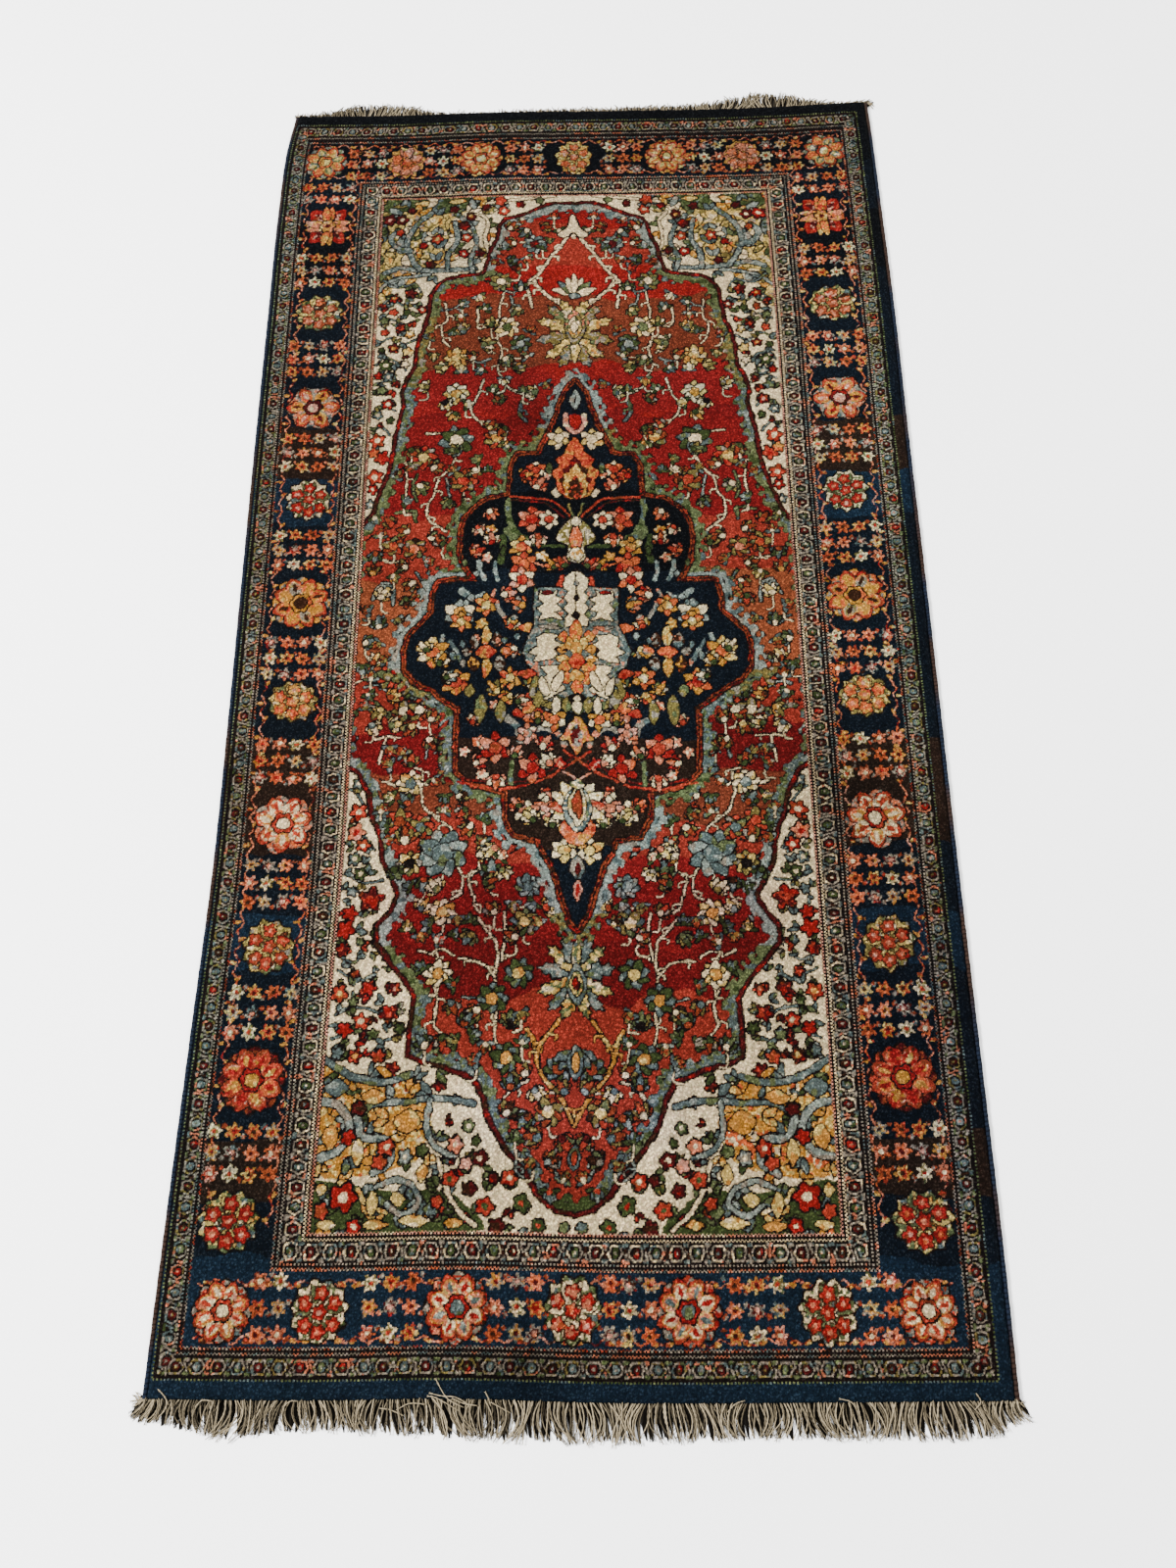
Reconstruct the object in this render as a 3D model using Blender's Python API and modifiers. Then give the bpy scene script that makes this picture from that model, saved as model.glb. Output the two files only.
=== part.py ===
"""Oriental pile rug lying flat on the floor: the knotted body, its two overcast side edges and its two fringed ends.

Metres, +Z up. The origin is on the floor under the middle of the rug's whole outline, fringes included.
+X runs to the rug's right side and +Y from its front end to its back end.
"""

import math

import bmesh
import bpy
import numpy as np

MM = 0.001

# Driving sizes
RUG_WIDTH = 0.910
BODY_LENGTH = 1.822
BODY_THICKNESS = 0.009
PILE_EDGE_ROUNDING = 0.0025
PILE_UNEVENNESS = 0.0004
SIDE_CORD_DIAMETER = 0.006
SIDE_CORD_END_SETBACK = 0.0005
FIT_GAP = 0.0003
FRINGE_STRIP_DEPTH = 0.004
FRINGE_STRIP_HEIGHT = 0.003
STRANDS_PER_END = 130
STRAND_TIP_WIDTH = 0.0022
STRAND_TIP_HEIGHT = 0.0018

# Mesh steps of the body: cells from side to side and from end to end
CELLS_ACROSS = 16
CELLS_ALONG = 32

# How far each long side bows out of its straight line, at shares of the length from the front end
SIDE_BOWS = [
    dict(along=0.000, left_mm=6.0, right_mm=1.0),
    dict(along=0.070, left_mm=4.0, right_mm=2.0),
    dict(along=0.215, left_mm=-1.0, right_mm=1.0),
    dict(along=0.320, left_mm=-5.0, right_mm=0.0),
    dict(along=0.430, left_mm=-3.0, right_mm=0.0),
    dict(along=0.535, left_mm=0.0, right_mm=0.0),
    dict(along=0.645, left_mm=3.0, right_mm=-1.0),
    dict(along=0.785, left_mm=6.0, right_mm=-1.0),
    dict(along=0.895, left_mm=8.0, right_mm=-4.0),
    dict(along=0.965, left_mm=5.0, right_mm=-6.0),
    dict(along=1.000, left_mm=-3.0, right_mm=-8.0),
]

# How far each end bows out of its straight line, at shares of the width from the left side
END_BOWS = [
    dict(across=0.00, front_mm=-1.0, back_mm=2.0),
    dict(across=0.22, front_mm=0.0, back_mm=-1.0),
    dict(across=0.33, front_mm=-2.0, back_mm=1.0),
    dict(across=0.55, front_mm=2.0, back_mm=-2.0),
    dict(across=0.77, front_mm=1.0, back_mm=-4.0),
    dict(across=1.00, front_mm=-1.0, back_mm=3.0),
]

# How far the strands of each fringe reach, and how far their tips lean to the right
FRONT_FRINGE = [
    dict(across=0.00, reach_mm=20.0, lean_mm=-12.0),
    dict(across=0.04, reach_mm=28.0, lean_mm=-8.0),
    dict(across=0.09, reach_mm=37.0, lean_mm=-5.0),
    dict(across=0.20, reach_mm=31.0, lean_mm=1.0),
    dict(across=0.30, reach_mm=36.0, lean_mm=7.0),
    dict(across=0.40, reach_mm=40.0, lean_mm=2.0),
    dict(across=0.55, reach_mm=40.0, lean_mm=4.0),
    dict(across=0.70, reach_mm=36.0, lean_mm=4.0),
    dict(across=0.85, reach_mm=37.0, lean_mm=5.0),
    dict(across=0.96, reach_mm=33.0, lean_mm=7.0),
    dict(across=1.00, reach_mm=18.0, lean_mm=11.0),
]
BACK_FRINGE = [
    dict(across=0.00, reach_mm=9.0, lean_mm=-2.0),
    dict(across=0.05, reach_mm=14.0, lean_mm=0.0),
    dict(across=0.12, reach_mm=31.0, lean_mm=2.0),
    dict(across=0.18, reach_mm=28.0, lean_mm=3.0),
    dict(across=0.24, reach_mm=13.0, lean_mm=1.0),
    dict(across=0.30, reach_mm=6.0, lean_mm=0.0),
    dict(across=0.40, reach_mm=9.0, lean_mm=0.0),
    dict(across=0.60, reach_mm=14.0, lean_mm=0.0),
    dict(across=0.72, reach_mm=20.0, lean_mm=3.0),
    dict(across=0.80, reach_mm=38.0, lean_mm=6.0),
    dict(across=0.86, reach_mm=31.0, lean_mm=5.0),
    dict(across=0.92, reach_mm=12.0, lean_mm=4.0),
    dict(across=0.97, reach_mm=8.0, lean_mm=8.0),
    dict(across=1.00, reach_mm=8.0, lean_mm=14.0),
]


def read_table(rows, place, at, column):
    """Value of a column at a place between its rows, on a smooth curve through them."""
    places = np.array([row[place] for row in rows])
    values = np.array([row[column] for row in rows])
    slopes = np.gradient(values, places)
    first = int(np.clip(np.searchsorted(places, at) - 1, 0, len(rows) - 2))
    span = places[first + 1] - places[first]
    t = (at - places[first]) / span
    rise = values[first + 1] - values[first]
    ease = t * t * (3 - 2 * t)
    start_pull = t * (1 - t) ** 2 * span * slopes[first]
    end_pull = t * t * (t - 1) * span * slopes[first + 1]
    return values[first] + rise * ease + start_pull + end_pull


def side_x(side, along):
    """The outer line of the left or right side edge."""
    bow = read_table(SIDE_BOWS, "along", along, f"{side}_mm") * MM
    sign = -1 if side == "left" else 1
    return sign * (RUG_WIDTH / 2 + bow)


def end_y(end, across):
    """The line where the body stops at its front or back end, straight within each cell of the body's mesh."""
    stations = np.linspace(0, 1, CELLS_ACROSS + 1)
    bows = [read_table(END_BOWS, "across", station, f"{end}_mm") * MM for station in stations]
    sign = -1 if end == "front" else 1
    return sign * (BODY_LENGTH / 2 + float(np.interp(across, stations, bows)))


def plan_point(across, along, side_inset=0.0):
    """A point of the rug seen from above, by its shares of the width and the length."""
    left = side_x("left", along) + side_inset
    right = side_x("right", along) - side_inset
    x = left + (right - left) * across
    y = end_y("front", across) + (end_y("back", across) - end_y("front", across)) * along
    return x, y


def wool_material(name, colour, roughness):
    material = bpy.data.materials.new(name)
    material.use_nodes = True
    shader = material.node_tree.nodes["Principled BSDF"]
    shader.inputs["Base Color"].default_value = (*colour, 1)
    shader.inputs["Roughness"].default_value = roughness
    shader.inputs["Metallic"].default_value = 0
    return material


def add_part(name, data, material, smooth=True):
    """Puts a mesh or curve in the rug's collection, on the anchor that centres the rug."""
    data.materials.append(material)
    part = bpy.data.objects.new(name, data)
    rug_parts.objects.link(part)
    part.parent = anchor
    if smooth and isinstance(data, bpy.types.Mesh):
        data.shade_smooth()
        data.set_sharp_from_angle(angle=math.radians(40))
    return part


for leftover in list(bpy.data.objects):
    bpy.data.objects.remove(leftover, do_unlink=True)

rug_parts = bpy.data.collections.new("oriental_rug")
bpy.context.scene.collection.children.link(rug_parts)
anchor = bpy.data.objects.new("rug_centre", None)
rug_parts.objects.link(anchor)


# Body: wool pile knotted into a cotton foundation, one flat piece with a flat underside
def pile_height(across, along):
    """The pile's top, a little higher and lower where the rug has been walked on."""
    long_wave = math.sin(2 * math.pi * (1.3 * along + 0.2 * across))
    short_wave = math.sin(2 * math.pi * (3.1 * across + 2.3 * along))
    return BODY_THICKNESS + PILE_UNEVENNESS * (0.6 * long_wave + 0.4 * short_wave)


def build_body():
    grid = bmesh.new()
    bmesh.ops.create_grid(grid, x_segments=CELLS_ACROSS, y_segments=CELLS_ALONG, size=0.5)
    for vertex in grid.verts:
        across = vertex.co.x + 0.5
        along = vertex.co.y + 0.5
        x, y = plan_point(across, along, side_inset=SIDE_CORD_DIAMETER + FIT_GAP)
        vertex.co = (x, y, pile_height(across, along))
    rounded = grid.edges.layers.float.new("bevel_weight_edge")
    for edge in grid.edges:
        edge[rounded] = 1.0 if edge.is_boundary else 0.0
    under = bmesh.ops.extrude_face_region(grid, geom=grid.faces[:], use_keep_orig=True)
    for item in under["geom"]:
        if isinstance(item, bmesh.types.BMVert):
            item.co.z = 0.0
        if isinstance(item, bmesh.types.BMEdge):
            item[rounded] = 0.0
    bmesh.ops.recalc_face_normals(grid, faces=grid.faces[:])
    mesh = bpy.data.meshes.new("rug_body")
    grid.to_mesh(mesh)
    grid.free()
    body = add_part("rug_body", mesh, wool_material("red_wool_pile", (0.25, 0.03, 0.02), 0.9))
    bevel = body.modifiers.new("rounded pile edge", "BEVEL")
    bevel.limit_method = "WEIGHT"
    bevel.width = PILE_EDGE_ROUNDING
    bevel.segments = 2


build_body()


# Side edges: a cord overcast with navy wool along each long side
def build_side_cord(side, material):
    curve = bpy.data.curves.new(f"selvedge_{side}", "CURVE")
    curve.dimensions = "3D"
    curve.twist_mode = "Z_UP"
    curve.bevel_depth = SIDE_CORD_DIAMETER / 2
    curve.bevel_resolution = 2
    curve.use_fill_caps = True
    spline = curve.splines.new("POLY")
    spline.points.add(CELLS_ALONG)
    across = 0 if side == "left" else 1
    for step, point in enumerate(spline.points):
        along = step / CELLS_ALONG
        x, y = plan_point(across, along, side_inset=SIDE_CORD_DIAMETER / 2)
        y -= SIDE_CORD_END_SETBACK * ((along == 1) - (along == 0))
        point.co = (x, y, SIDE_CORD_DIAMETER / 2, 1)
    add_part(curve.name, curve, material)


navy_wool = wool_material("navy_wool_overcast", (0.01, 0.02, 0.05), 0.9)
for side_name in ("left", "right"):
    build_side_cord(side_name, navy_wool)


# Fringes: loose warp ends that come out of a narrow woven strip at each end
def bend_strand(grid, root, outward, reach, lean, wobble):
    """Draws one strand out of the strip's face in two steps, level on the floor and thinner at its tip."""
    centre = root.calc_center_median()
    root_width = max(v.co.x for v in root.verts) - min(v.co.x for v in root.verts)
    face = root
    for share in (0.55, 1.0):
        face = bmesh.ops.extrude_discrete_faces(grid, faces=[face])["faces"][0]
        middle = face.calc_center_median().x
        x = centre.x + lean * share ** 1.4 + wobble * share * (1 - share)
        y = centre.y + outward * reach * share
        half_width = (root_width + (STRAND_TIP_WIDTH - root_width) * share) / 2
        height = FRINGE_STRIP_HEIGHT + (STRAND_TIP_HEIGHT - FRINGE_STRIP_HEIGHT) * share
        for vertex in face.verts:
            side = 1 if vertex.co.x > middle else -1
            top = vertex.co.z > 0.5 * STRAND_TIP_HEIGHT
            vertex.co = (x + side * half_width, y, height if top else 0.0)


def build_fringe(end, rows, material):
    outward = -1 if end == "front" else 1
    along = 0 if end == "front" else 1
    columns = 2 * STRANDS_PER_END + 1
    grid = bmesh.new()
    bmesh.ops.create_grid(grid, x_segments=columns, y_segments=1, size=0.5)
    for vertex in grid.verts:
        across = vertex.co.x + 0.5
        outer = vertex.co.y * outward > 0
        x, y = plan_point(across, along)
        y += outward * (FIT_GAP + (FRINGE_STRIP_DEPTH if outer else 0.0))
        vertex.co = (x, y, FRINGE_STRIP_HEIGHT)
    under = bmesh.ops.extrude_face_region(grid, geom=grid.faces[:], use_keep_orig=True)
    for item in under["geom"]:
        if isinstance(item, bmesh.types.BMVert):
            item.co.z = 0.0
    bmesh.ops.recalc_face_normals(grid, faces=grid.faces[:])
    outer_faces = [face for face in grid.faces if face.normal.y * outward > 0.9]
    outer_faces.sort(key=lambda face: face.calc_center_median().x)
    for number, root in enumerate(outer_faces[1::2]):
        across = (2 * number + 1.5) / columns
        reach = read_table(rows, "across", across, "reach_mm") + 1.6 * math.sin(2.4 * number)
        lean = read_table(rows, "across", across, "lean_mm") + 0.5 * math.sin(5.1 * number)
        wobble = 1.5 * math.sin(1.7 * number)
        bend_strand(grid, root, outward, reach * MM, lean * MM, wobble * MM)
    mesh = bpy.data.meshes.new(f"fringe_{end}")
    grid.to_mesh(mesh)
    grid.free()
    add_part(mesh.name, mesh, material, smooth=False)


cotton = wool_material("undyed_cotton_strands", (0.55, 0.5, 0.4), 0.85)
build_fringe("front", FRONT_FRINGE, cotton)
build_fringe("back", BACK_FRINGE, cotton)

# The strands reach furthest on all four sides, so their meshes give the outline that the origin centres
reaching = [part for part in rug_parts.objects if part.name.startswith("fringe_")]
outline = np.array([vertex.co[:2] for part in reaching for vertex in part.data.vertices])
middle_of_outline = (outline.min(axis=0) + outline.max(axis=0)) / 2
anchor.location = (-middle_of_outline[0], -middle_of_outline[1], 0)
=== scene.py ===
import math

import bpy
import numpy as np
from mathutils import Matrix, Vector


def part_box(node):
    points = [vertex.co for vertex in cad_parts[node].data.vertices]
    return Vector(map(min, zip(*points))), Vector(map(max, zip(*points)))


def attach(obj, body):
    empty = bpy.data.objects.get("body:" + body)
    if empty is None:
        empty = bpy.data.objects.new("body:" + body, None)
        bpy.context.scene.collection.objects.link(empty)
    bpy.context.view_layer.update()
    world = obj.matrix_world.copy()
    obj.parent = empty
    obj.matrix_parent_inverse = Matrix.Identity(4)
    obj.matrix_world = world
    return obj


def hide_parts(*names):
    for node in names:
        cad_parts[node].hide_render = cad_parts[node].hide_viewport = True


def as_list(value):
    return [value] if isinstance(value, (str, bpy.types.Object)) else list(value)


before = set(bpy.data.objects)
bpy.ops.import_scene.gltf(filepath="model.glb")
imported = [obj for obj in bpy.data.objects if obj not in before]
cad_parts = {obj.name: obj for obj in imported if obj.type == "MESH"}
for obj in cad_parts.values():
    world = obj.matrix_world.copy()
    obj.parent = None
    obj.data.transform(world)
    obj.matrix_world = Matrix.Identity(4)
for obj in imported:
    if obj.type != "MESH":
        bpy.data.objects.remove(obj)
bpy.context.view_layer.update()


# Room: a plain pale floor under the rug, soft daylight from large lamps, and the photograph's camera, held
# by a standing person past the rug's front end and looking down on it.
PHOTO_HEIGHT = 1600
CAMERA_FOCAL_PIXELS = 1260
SENSOR_MM = 36
CAMERA_PLACE = (0.0536, -0.7693, 1.4354)
CAMERA_PITCH, CAMERA_TURN, CAMERA_ROLL = 0.36848, 0.07396, -0.07993


def add_camera():
    camera = bpy.data.cameras.new("photo_camera")
    camera.sensor_width = SENSOR_MM
    camera.lens = CAMERA_FOCAL_PIXELS * SENSOR_MM / PHOTO_HEIGHT
    holder = bpy.data.objects.new("photo_camera", camera)
    turn = Matrix.Rotation(CAMERA_TURN, 4, "Z")
    pitch = Matrix.Rotation(CAMERA_PITCH, 4, "X")
    roll = Matrix.Rotation(CAMERA_ROLL, 4, "Z")
    holder.matrix_world = Matrix.Translation(CAMERA_PLACE) @ turn @ pitch @ roll
    bpy.context.scene.collection.objects.link(holder)
    bpy.context.scene.camera = holder


def add_floor():
    mesh = bpy.data.meshes.new("floor")
    reach = 8.0
    corners = [(-reach, -reach, 0), (reach, -reach, 0), (reach, reach, 0), (-reach, reach, 0)]
    mesh.from_pydata(corners, [], [(0, 1, 2, 3)])
    paint = bpy.data.materials.new("pale_floor")
    paint.use_nodes = True
    shader = paint.node_tree.nodes["Principled BSDF"]
    shader.inputs["Base Color"].default_value = (0.9, 0.9, 0.9, 1)
    shader.inputs["Roughness"].default_value = 0.9
    mesh.materials.append(paint)
    floor = bpy.data.objects.new("floor", mesh)
    bpy.context.scene.collection.objects.link(floor)


def add_lamp(name, place, aim, size, power):
    lamp = bpy.data.lights.new(name, "AREA")
    lamp.shape = "RECTANGLE"
    lamp.size, lamp.size_y = size
    lamp.energy = power
    holder = bpy.data.objects.new(name, lamp)
    holder.location = place
    holder.rotation_euler = (Vector(aim) - Vector(place)).to_track_quat("-Z", "Y").to_euler()
    bpy.context.scene.collection.objects.link(holder)


def add_sky():
    world = bpy.data.worlds.new("studio")
    world.use_nodes = True
    background = world.node_tree.nodes["Background"]
    background.inputs["Color"].default_value = (1.0, 1.0, 1.0, 1)
    background.inputs["Strength"].default_value = 1.5
    bpy.context.scene.world = world


add_camera()
add_floor()
add_sky()
add_lamp("key_softbox", (-3.2, -0.2, 3.4), (0, 0, 0), (1.2, 1.2), 950)
add_lamp("fill_softbox", (2.4, 1.2, 3.2), (0, 0, 0), (2.0, 2.0), 160)


# Knot plan: the weaver's chart of the whole rug in dyed wool yarns, first the field and then the borders. A
# knot has two by two squares of it: two ends of yarn across, doubled along the rug by the pile's lean. Places
# are in millimetres from the left edge and from the front end of the knotted body.
KNOT = 2.0
PILE_LEFT = 6.3
PILE_WIDTH = 897.4
PILE_LENGTH = 1822.0
PILE_FRONT = -4.0
KNOTS_ACROSS = round(PILE_WIDTH / KNOT)
KNOTS_ALONG = round(PILE_LENGTH / KNOT)
HALF_KNOT = KNOT / 2
MIDDLE = 449.5

YARNS = dict(
    navy=(24, 38, 60),
    ink=(36, 27, 27),
    red=(170, 40, 28),
    crimson=(158, 24, 26),
    maroon=(96, 26, 28),
    brick=(178, 66, 42),
    rust=(150, 72, 40),
    brown=(72, 44, 28),
    orange=(204, 104, 52),
    gold=(196, 144, 66),
    yellow=(208, 184, 112),
    mustard=(190, 138, 44),
    cream=(226, 208, 172),
    ivory=(228, 212, 176),
    salmon=(204, 128, 98),
    pink=(208, 152, 136),
    sky=(142, 153, 150),
    slate=(98, 114, 117),
    grey=(150, 142, 132),
    sage=(108, 119, 84),
    moss=(74, 88, 52),
    olive=(134, 122, 70),
)
YARN_NUMBER = {name: number for number, name in enumerate(YARNS)}

weaver = np.random.default_rng(6)
column_centres = PILE_LEFT + HALF_KNOT * (np.arange(2 * KNOTS_ACROSS) + 0.5)
row_centres = PILE_FRONT + HALF_KNOT * (np.arange(2 * KNOTS_ALONG) + 0.5)
knot_x, knot_y = np.meshgrid(column_centres, row_centres)
plan = np.full(knot_x.shape, YARN_NUMBER["navy"], dtype=np.int16)


def soft_noise(cell_mm, seed):
    """Smooth light and dark patches of about a cell's size over the whole plan, from -1 to 1."""
    source = np.random.default_rng(seed)
    across = int(PILE_WIDTH / cell_mm) + 3
    along = int(PILE_LENGTH / cell_mm) + 3
    values = source.uniform(-1, 1, (along, across))
    u = (knot_x - PILE_LEFT) / cell_mm
    v = (knot_y - PILE_FRONT) / cell_mm
    i, j = u.astype(int), v.astype(int)
    fu, fv = u - i, v - j
    fu, fv = fu * fu * (3 - 2 * fu), fv * fv * (3 - 2 * fv)
    near = values[j, i] * (1 - fu) + values[j, i + 1] * fu
    far = values[j + 1, i] * (1 - fu) + values[j + 1, i + 1] * fu
    return near * (1 - fv) + far * fv


def seen_by_eye(places, seed):
    """Places of knots that wander a little, as they do where a weaver counts the knots by eye."""
    knot_by_knot = weaver.uniform(-0.4, 0.4, places.shape)
    return places + knot_by_knot + 1.1 * soft_noise(6, seed) + 1.2 * soft_noise(17, seed + 2)


ragged_x = seen_by_eye(knot_x, 22)
ragged_y = seen_by_eye(knot_y, 23)
# Where two yarns are mixed, the first one takes the knots whose fleck is above this level
fleck = soft_noise(3.4, 21)
FIRST_YARN_ABOVE = -0.22


def knots_near(points, margin):
    """The knots around a drawing: their rows, their columns and their slightly ragged places."""
    low = points.min(axis=0) - margin
    high = points.max(axis=0) + margin
    rows, columns = knot_x.shape
    first_column = max(0, int((low[0] - PILE_LEFT) / HALF_KNOT))
    last_column = max(first_column, min(columns, int((high[0] - PILE_LEFT) / HALF_KNOT) + 2))
    first_row = max(0, int((low[1] - PILE_FRONT) / HALF_KNOT))
    last_row = max(first_row, min(rows, int((high[1] - PILE_FRONT) / HALF_KNOT) + 2))
    part = (slice(first_row, last_row), slice(first_column, last_column))
    return part, ragged_x[part], ragged_y[part]


def curve_through(points, closed=False, steps=5):
    """A smooth line through given points."""
    p = np.asarray(points, float)
    if closed:
        p = np.vstack([p[-1], p, p[0], p[1]])
    else:
        p = np.vstack([2 * p[0] - p[1], p, 2 * p[-1] - p[-2]])
    t = np.linspace(0, 1, steps, endpoint=False)[:, None]
    drawn = []
    for a, b, c, d in zip(p[:-3], p[1:-2], p[2:-1], p[3:]):
        bend = (2 * a - 5 * b + 4 * c - d) * t**2 + (3 * b - a - 3 * c + d) * t**3
        drawn.append(0.5 * (2 * b + (c - a) * t + bend))
    drawn.append(p[-2:-1])
    return np.vstack(drawn)


def distance_to_line(x, y, line):
    """How far each knot lies from a line."""
    nearest = np.full(x.shape, 1e6)
    for (ax, ay), (bx, by) in zip(line[:-1], line[1:]):
        dx, dy = bx - ax, by - ay
        share = np.clip(((x - ax) * dx + (y - ay) * dy) / (dx * dx + dy * dy + 1e-9), 0, 1)
        nearest = np.minimum(nearest, np.hypot(x - ax - share * dx, y - ay - share * dy))
    return nearest


def distance_to_edge(x, y, outline):
    """How far each knot lies from an outline, less than zero inside it."""
    inside = np.zeros(x.shape, bool)
    for (ax, ay), (bx, by) in zip(outline, np.roll(outline, -1, axis=0)):
        if ay != by:
            crosses = (ay > y) != (by > y)
            inside ^= crosses & (x < (bx - ax) * (y - ay) / (by - ay) + ax)
    distance = distance_to_line(x, y, np.vstack([outline, outline[:1]]))
    return np.where(inside, -distance, distance)


def both_sides(points, mirrored):
    """A drawing and, where the design is the same on both sides, its mirror image."""
    points = np.asarray(points, float)
    yield points
    if mirrored:
        yield np.column_stack([2 * MIDDLE - points[:, 0], points[:, 1]])


def tie(part, where, yarn):
    """Ties the chosen knots in one yarn, or in two yarns mixed in small patches."""
    if isinstance(yarn, tuple):
        first, second = yarn
        mix = np.where(fleck[part] > FIRST_YARN_ABOVE, YARN_NUMBER[first], YARN_NUMBER[second])
        plan[part] = np.where(where, mix, plan[part])
    else:
        plan[part] = np.where(where, YARN_NUMBER[yarn], plan[part])


def fill_shape(points, yarn, edge="ink", edge_width=2.4, mirrored=True, smooth=True):
    """A filled shape with a dark outline round it."""
    for side in both_sides(points, mirrored):
        outline = curve_through(side, closed=True)[:-1] if smooth else side
        part, x, y = knots_near(outline, edge_width + KNOT)
        distance = distance_to_edge(x, y, outline)
        if edge:
            tie(part, distance < edge_width, edge)
        tie(part, distance < 0, yarn)


def draw_stem(points, yarn, width=2.6, edge=None, edge_width=1.8, mirrored=True):
    """A stem or line of even width."""
    for side in both_sides(points, mirrored):
        line = curve_through(side)
        part, x, y = knots_near(line, width / 2 + edge_width + KNOT)
        distance = distance_to_line(x, y, line) - width / 2
        if edge:
            tie(part, distance < edge_width, edge)
        tie(part, distance < 0, yarn)


HEART_SHARE = 0.34


def blossom(x, y, radius, yarn, petals=4, depth=0.3, turn=0.0, heart=None, edge="ink", edge_width=2.2,
            mirrored=True):
    """A small flower seen from above, with rounded petals and a heart."""
    angles = np.linspace(0, 2 * math.pi, 8 * petals, endpoint=False)
    reach = radius * (1 - depth * (0.5 - 0.5 * np.cos(petals * (angles - turn))))
    points = np.column_stack([x + reach * np.cos(angles), y + reach * np.sin(angles)])
    fill_shape(points, yarn, edge=edge, edge_width=edge_width, mirrored=mirrored, smooth=False)
    if heart:
        reach = HEART_SHARE * radius
        points = np.column_stack([x + reach * np.cos(angles), y + reach * np.sin(angles)])
        fill_shape(points, heart, edge=None, mirrored=mirrored, smooth=False)


def turned(x, y, along, across, angle):
    """Points from a foot, along and across a direction that is given in degrees from straight up."""
    lean = math.radians(angle)
    return np.column_stack([
        x + along * math.sin(lean) + across * math.cos(lean),
        y + along * math.cos(lean) - across * math.sin(lean),
    ])


def petal(x, y, length, width, angle, yarn, edge="ink", edge_width=1.8, mirrored=True):
    """A pointed petal or leaf from its foot, in the direction of its angle in degrees from straight up."""
    along = np.array([0, 0.2, 0.55, 0.85, 1.0, 0.85, 0.55, 0.2]) * length
    across = np.array([0, 0.38, 0.5, 0.28, 0, -0.28, -0.5, -0.38]) * width
    points = turned(x, y, along, across, angle)
    fill_shape(points, yarn, edge=edge, edge_width=edge_width, mirrored=mirrored)


def ragged_leaf(x, y, length, width, angle, yarn, edge_width=2.0, mirrored=True):
    """A leaf with three teeth on each side, from its foot, in the direction of its angle from straight up."""
    left = [(0, 0.1), (0.14, 0.42), (0.34, 0.5), (0.38, 0.3), (0.6, 0.44), (0.64, 0.22), (0.84, 0.28),
            (0.87, 0.1)]
    right = [(along, -across) for along, across in left[::-1]]
    along, across = np.array(left + [(1.0, 0.0)] + right).T * [[length], [width]]
    points = turned(x, y, along, across, angle)
    fill_shape(points, yarn, edge_width=edge_width, mirrored=mirrored, smooth=False)


def spot(x, y, wide, high, yarn, edge="ink", edge_width=1.8):
    """An upright lozenge with rounded sides, such as a bud, mirrored unless it is on the middle line."""
    points = [(x - wide / 2, y), (x, y + high / 2), (x + wide / 2, y), (x, y - high / 2)]
    fill_shape(points, yarn, edge=edge, edge_width=edge_width, mirrored=x != MIDDLE)


# Field: the red ground inside ivory corners, edged with a maroon line and a toothed band, all knotted in wool
# as part of the one pile. Outlines are given for the left half, and the right half mirrors them.
FIELD = dict(left=163, right=737, front=160, back=1641)
RED_EDGE = [
    (449.5, 1628), (420, 1628), (400, 1622), (382, 1611), (364, 1603), (346, 1597), (338, 1584), (334, 1560),
    (325, 1540), (320, 1515), (316, 1498), (306, 1492), (284, 1489), (262, 1486), (246, 1472), (238, 1456),
    (236, 1430), (232, 1400), (224, 1378), (220, 1350), (218, 1325), (208, 1300), (203, 1280), (207, 1258),
    (203, 1238), (198, 1215), (196, 1180), (191, 1150), (182, 1120), (172, 1085), (150, 1050), (140, 880),
    (150, 715), (172, 700), (186, 675), (193, 645), (205, 615), (209, 585), (222, 560), (231, 542),
    (224, 524), (208, 505), (208, 484), (225, 462), (246, 438), (259, 418), (256, 385), (256, 350),
    (275, 341), (300, 335), (334, 322), (345, 300), (353, 274), (372, 245), (393, 222), (408, 199),
    (428, 183), (449.5, 179),
]
MEDALLION_EDGE = [
    (449.5, 1294), (438, 1276), (430, 1252), (421, 1222), (412, 1200), (404, 1180), (401, 1172), (372, 1170),
    (364, 1150), (362, 1104), (330, 1098), (312, 1084), (300, 1066), (297, 1040), (299, 1004), (309, 986),
    (318, 972), (268, 971), (262, 950), (262, 926), (246, 908), (232, 892), (227, 868), (229, 845),
    (242, 828), (264, 816), (284, 798), (299, 788), (298, 740), (300, 702), (320, 684), (362, 676),
    (363, 640), (374, 618), (404, 612), (409, 598), (420, 580), (428, 556), (436, 530), (443, 512),
    (449.5, 502),
]
# Colours of the toothed band from the back end to the front: each yarn reaches down to its place
BAND_YARNS = [(1500, "sky"), (1415, "sage"), (1290, "olive"), (1190, "slate"), (1060, "sage"), (880, "sage"),
              (640, "slate"), (480, "sky"), (420, "sage"), (205, "slate"), (160, "moss")]
TIER_YARNS = [(1216, "sky"), (1190, "olive"), (985, "sage"), (840, "sky"), (805, "olive"), (700, "slate"),
              (655, "sage"), (520, "sky"), (480, "olive")]


TOOTH_LENGTH = 9.0
LONGER_TEETH = 1.3
OUTLINE = 2.2
THIN_OUTLINE = 1.8


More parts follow.
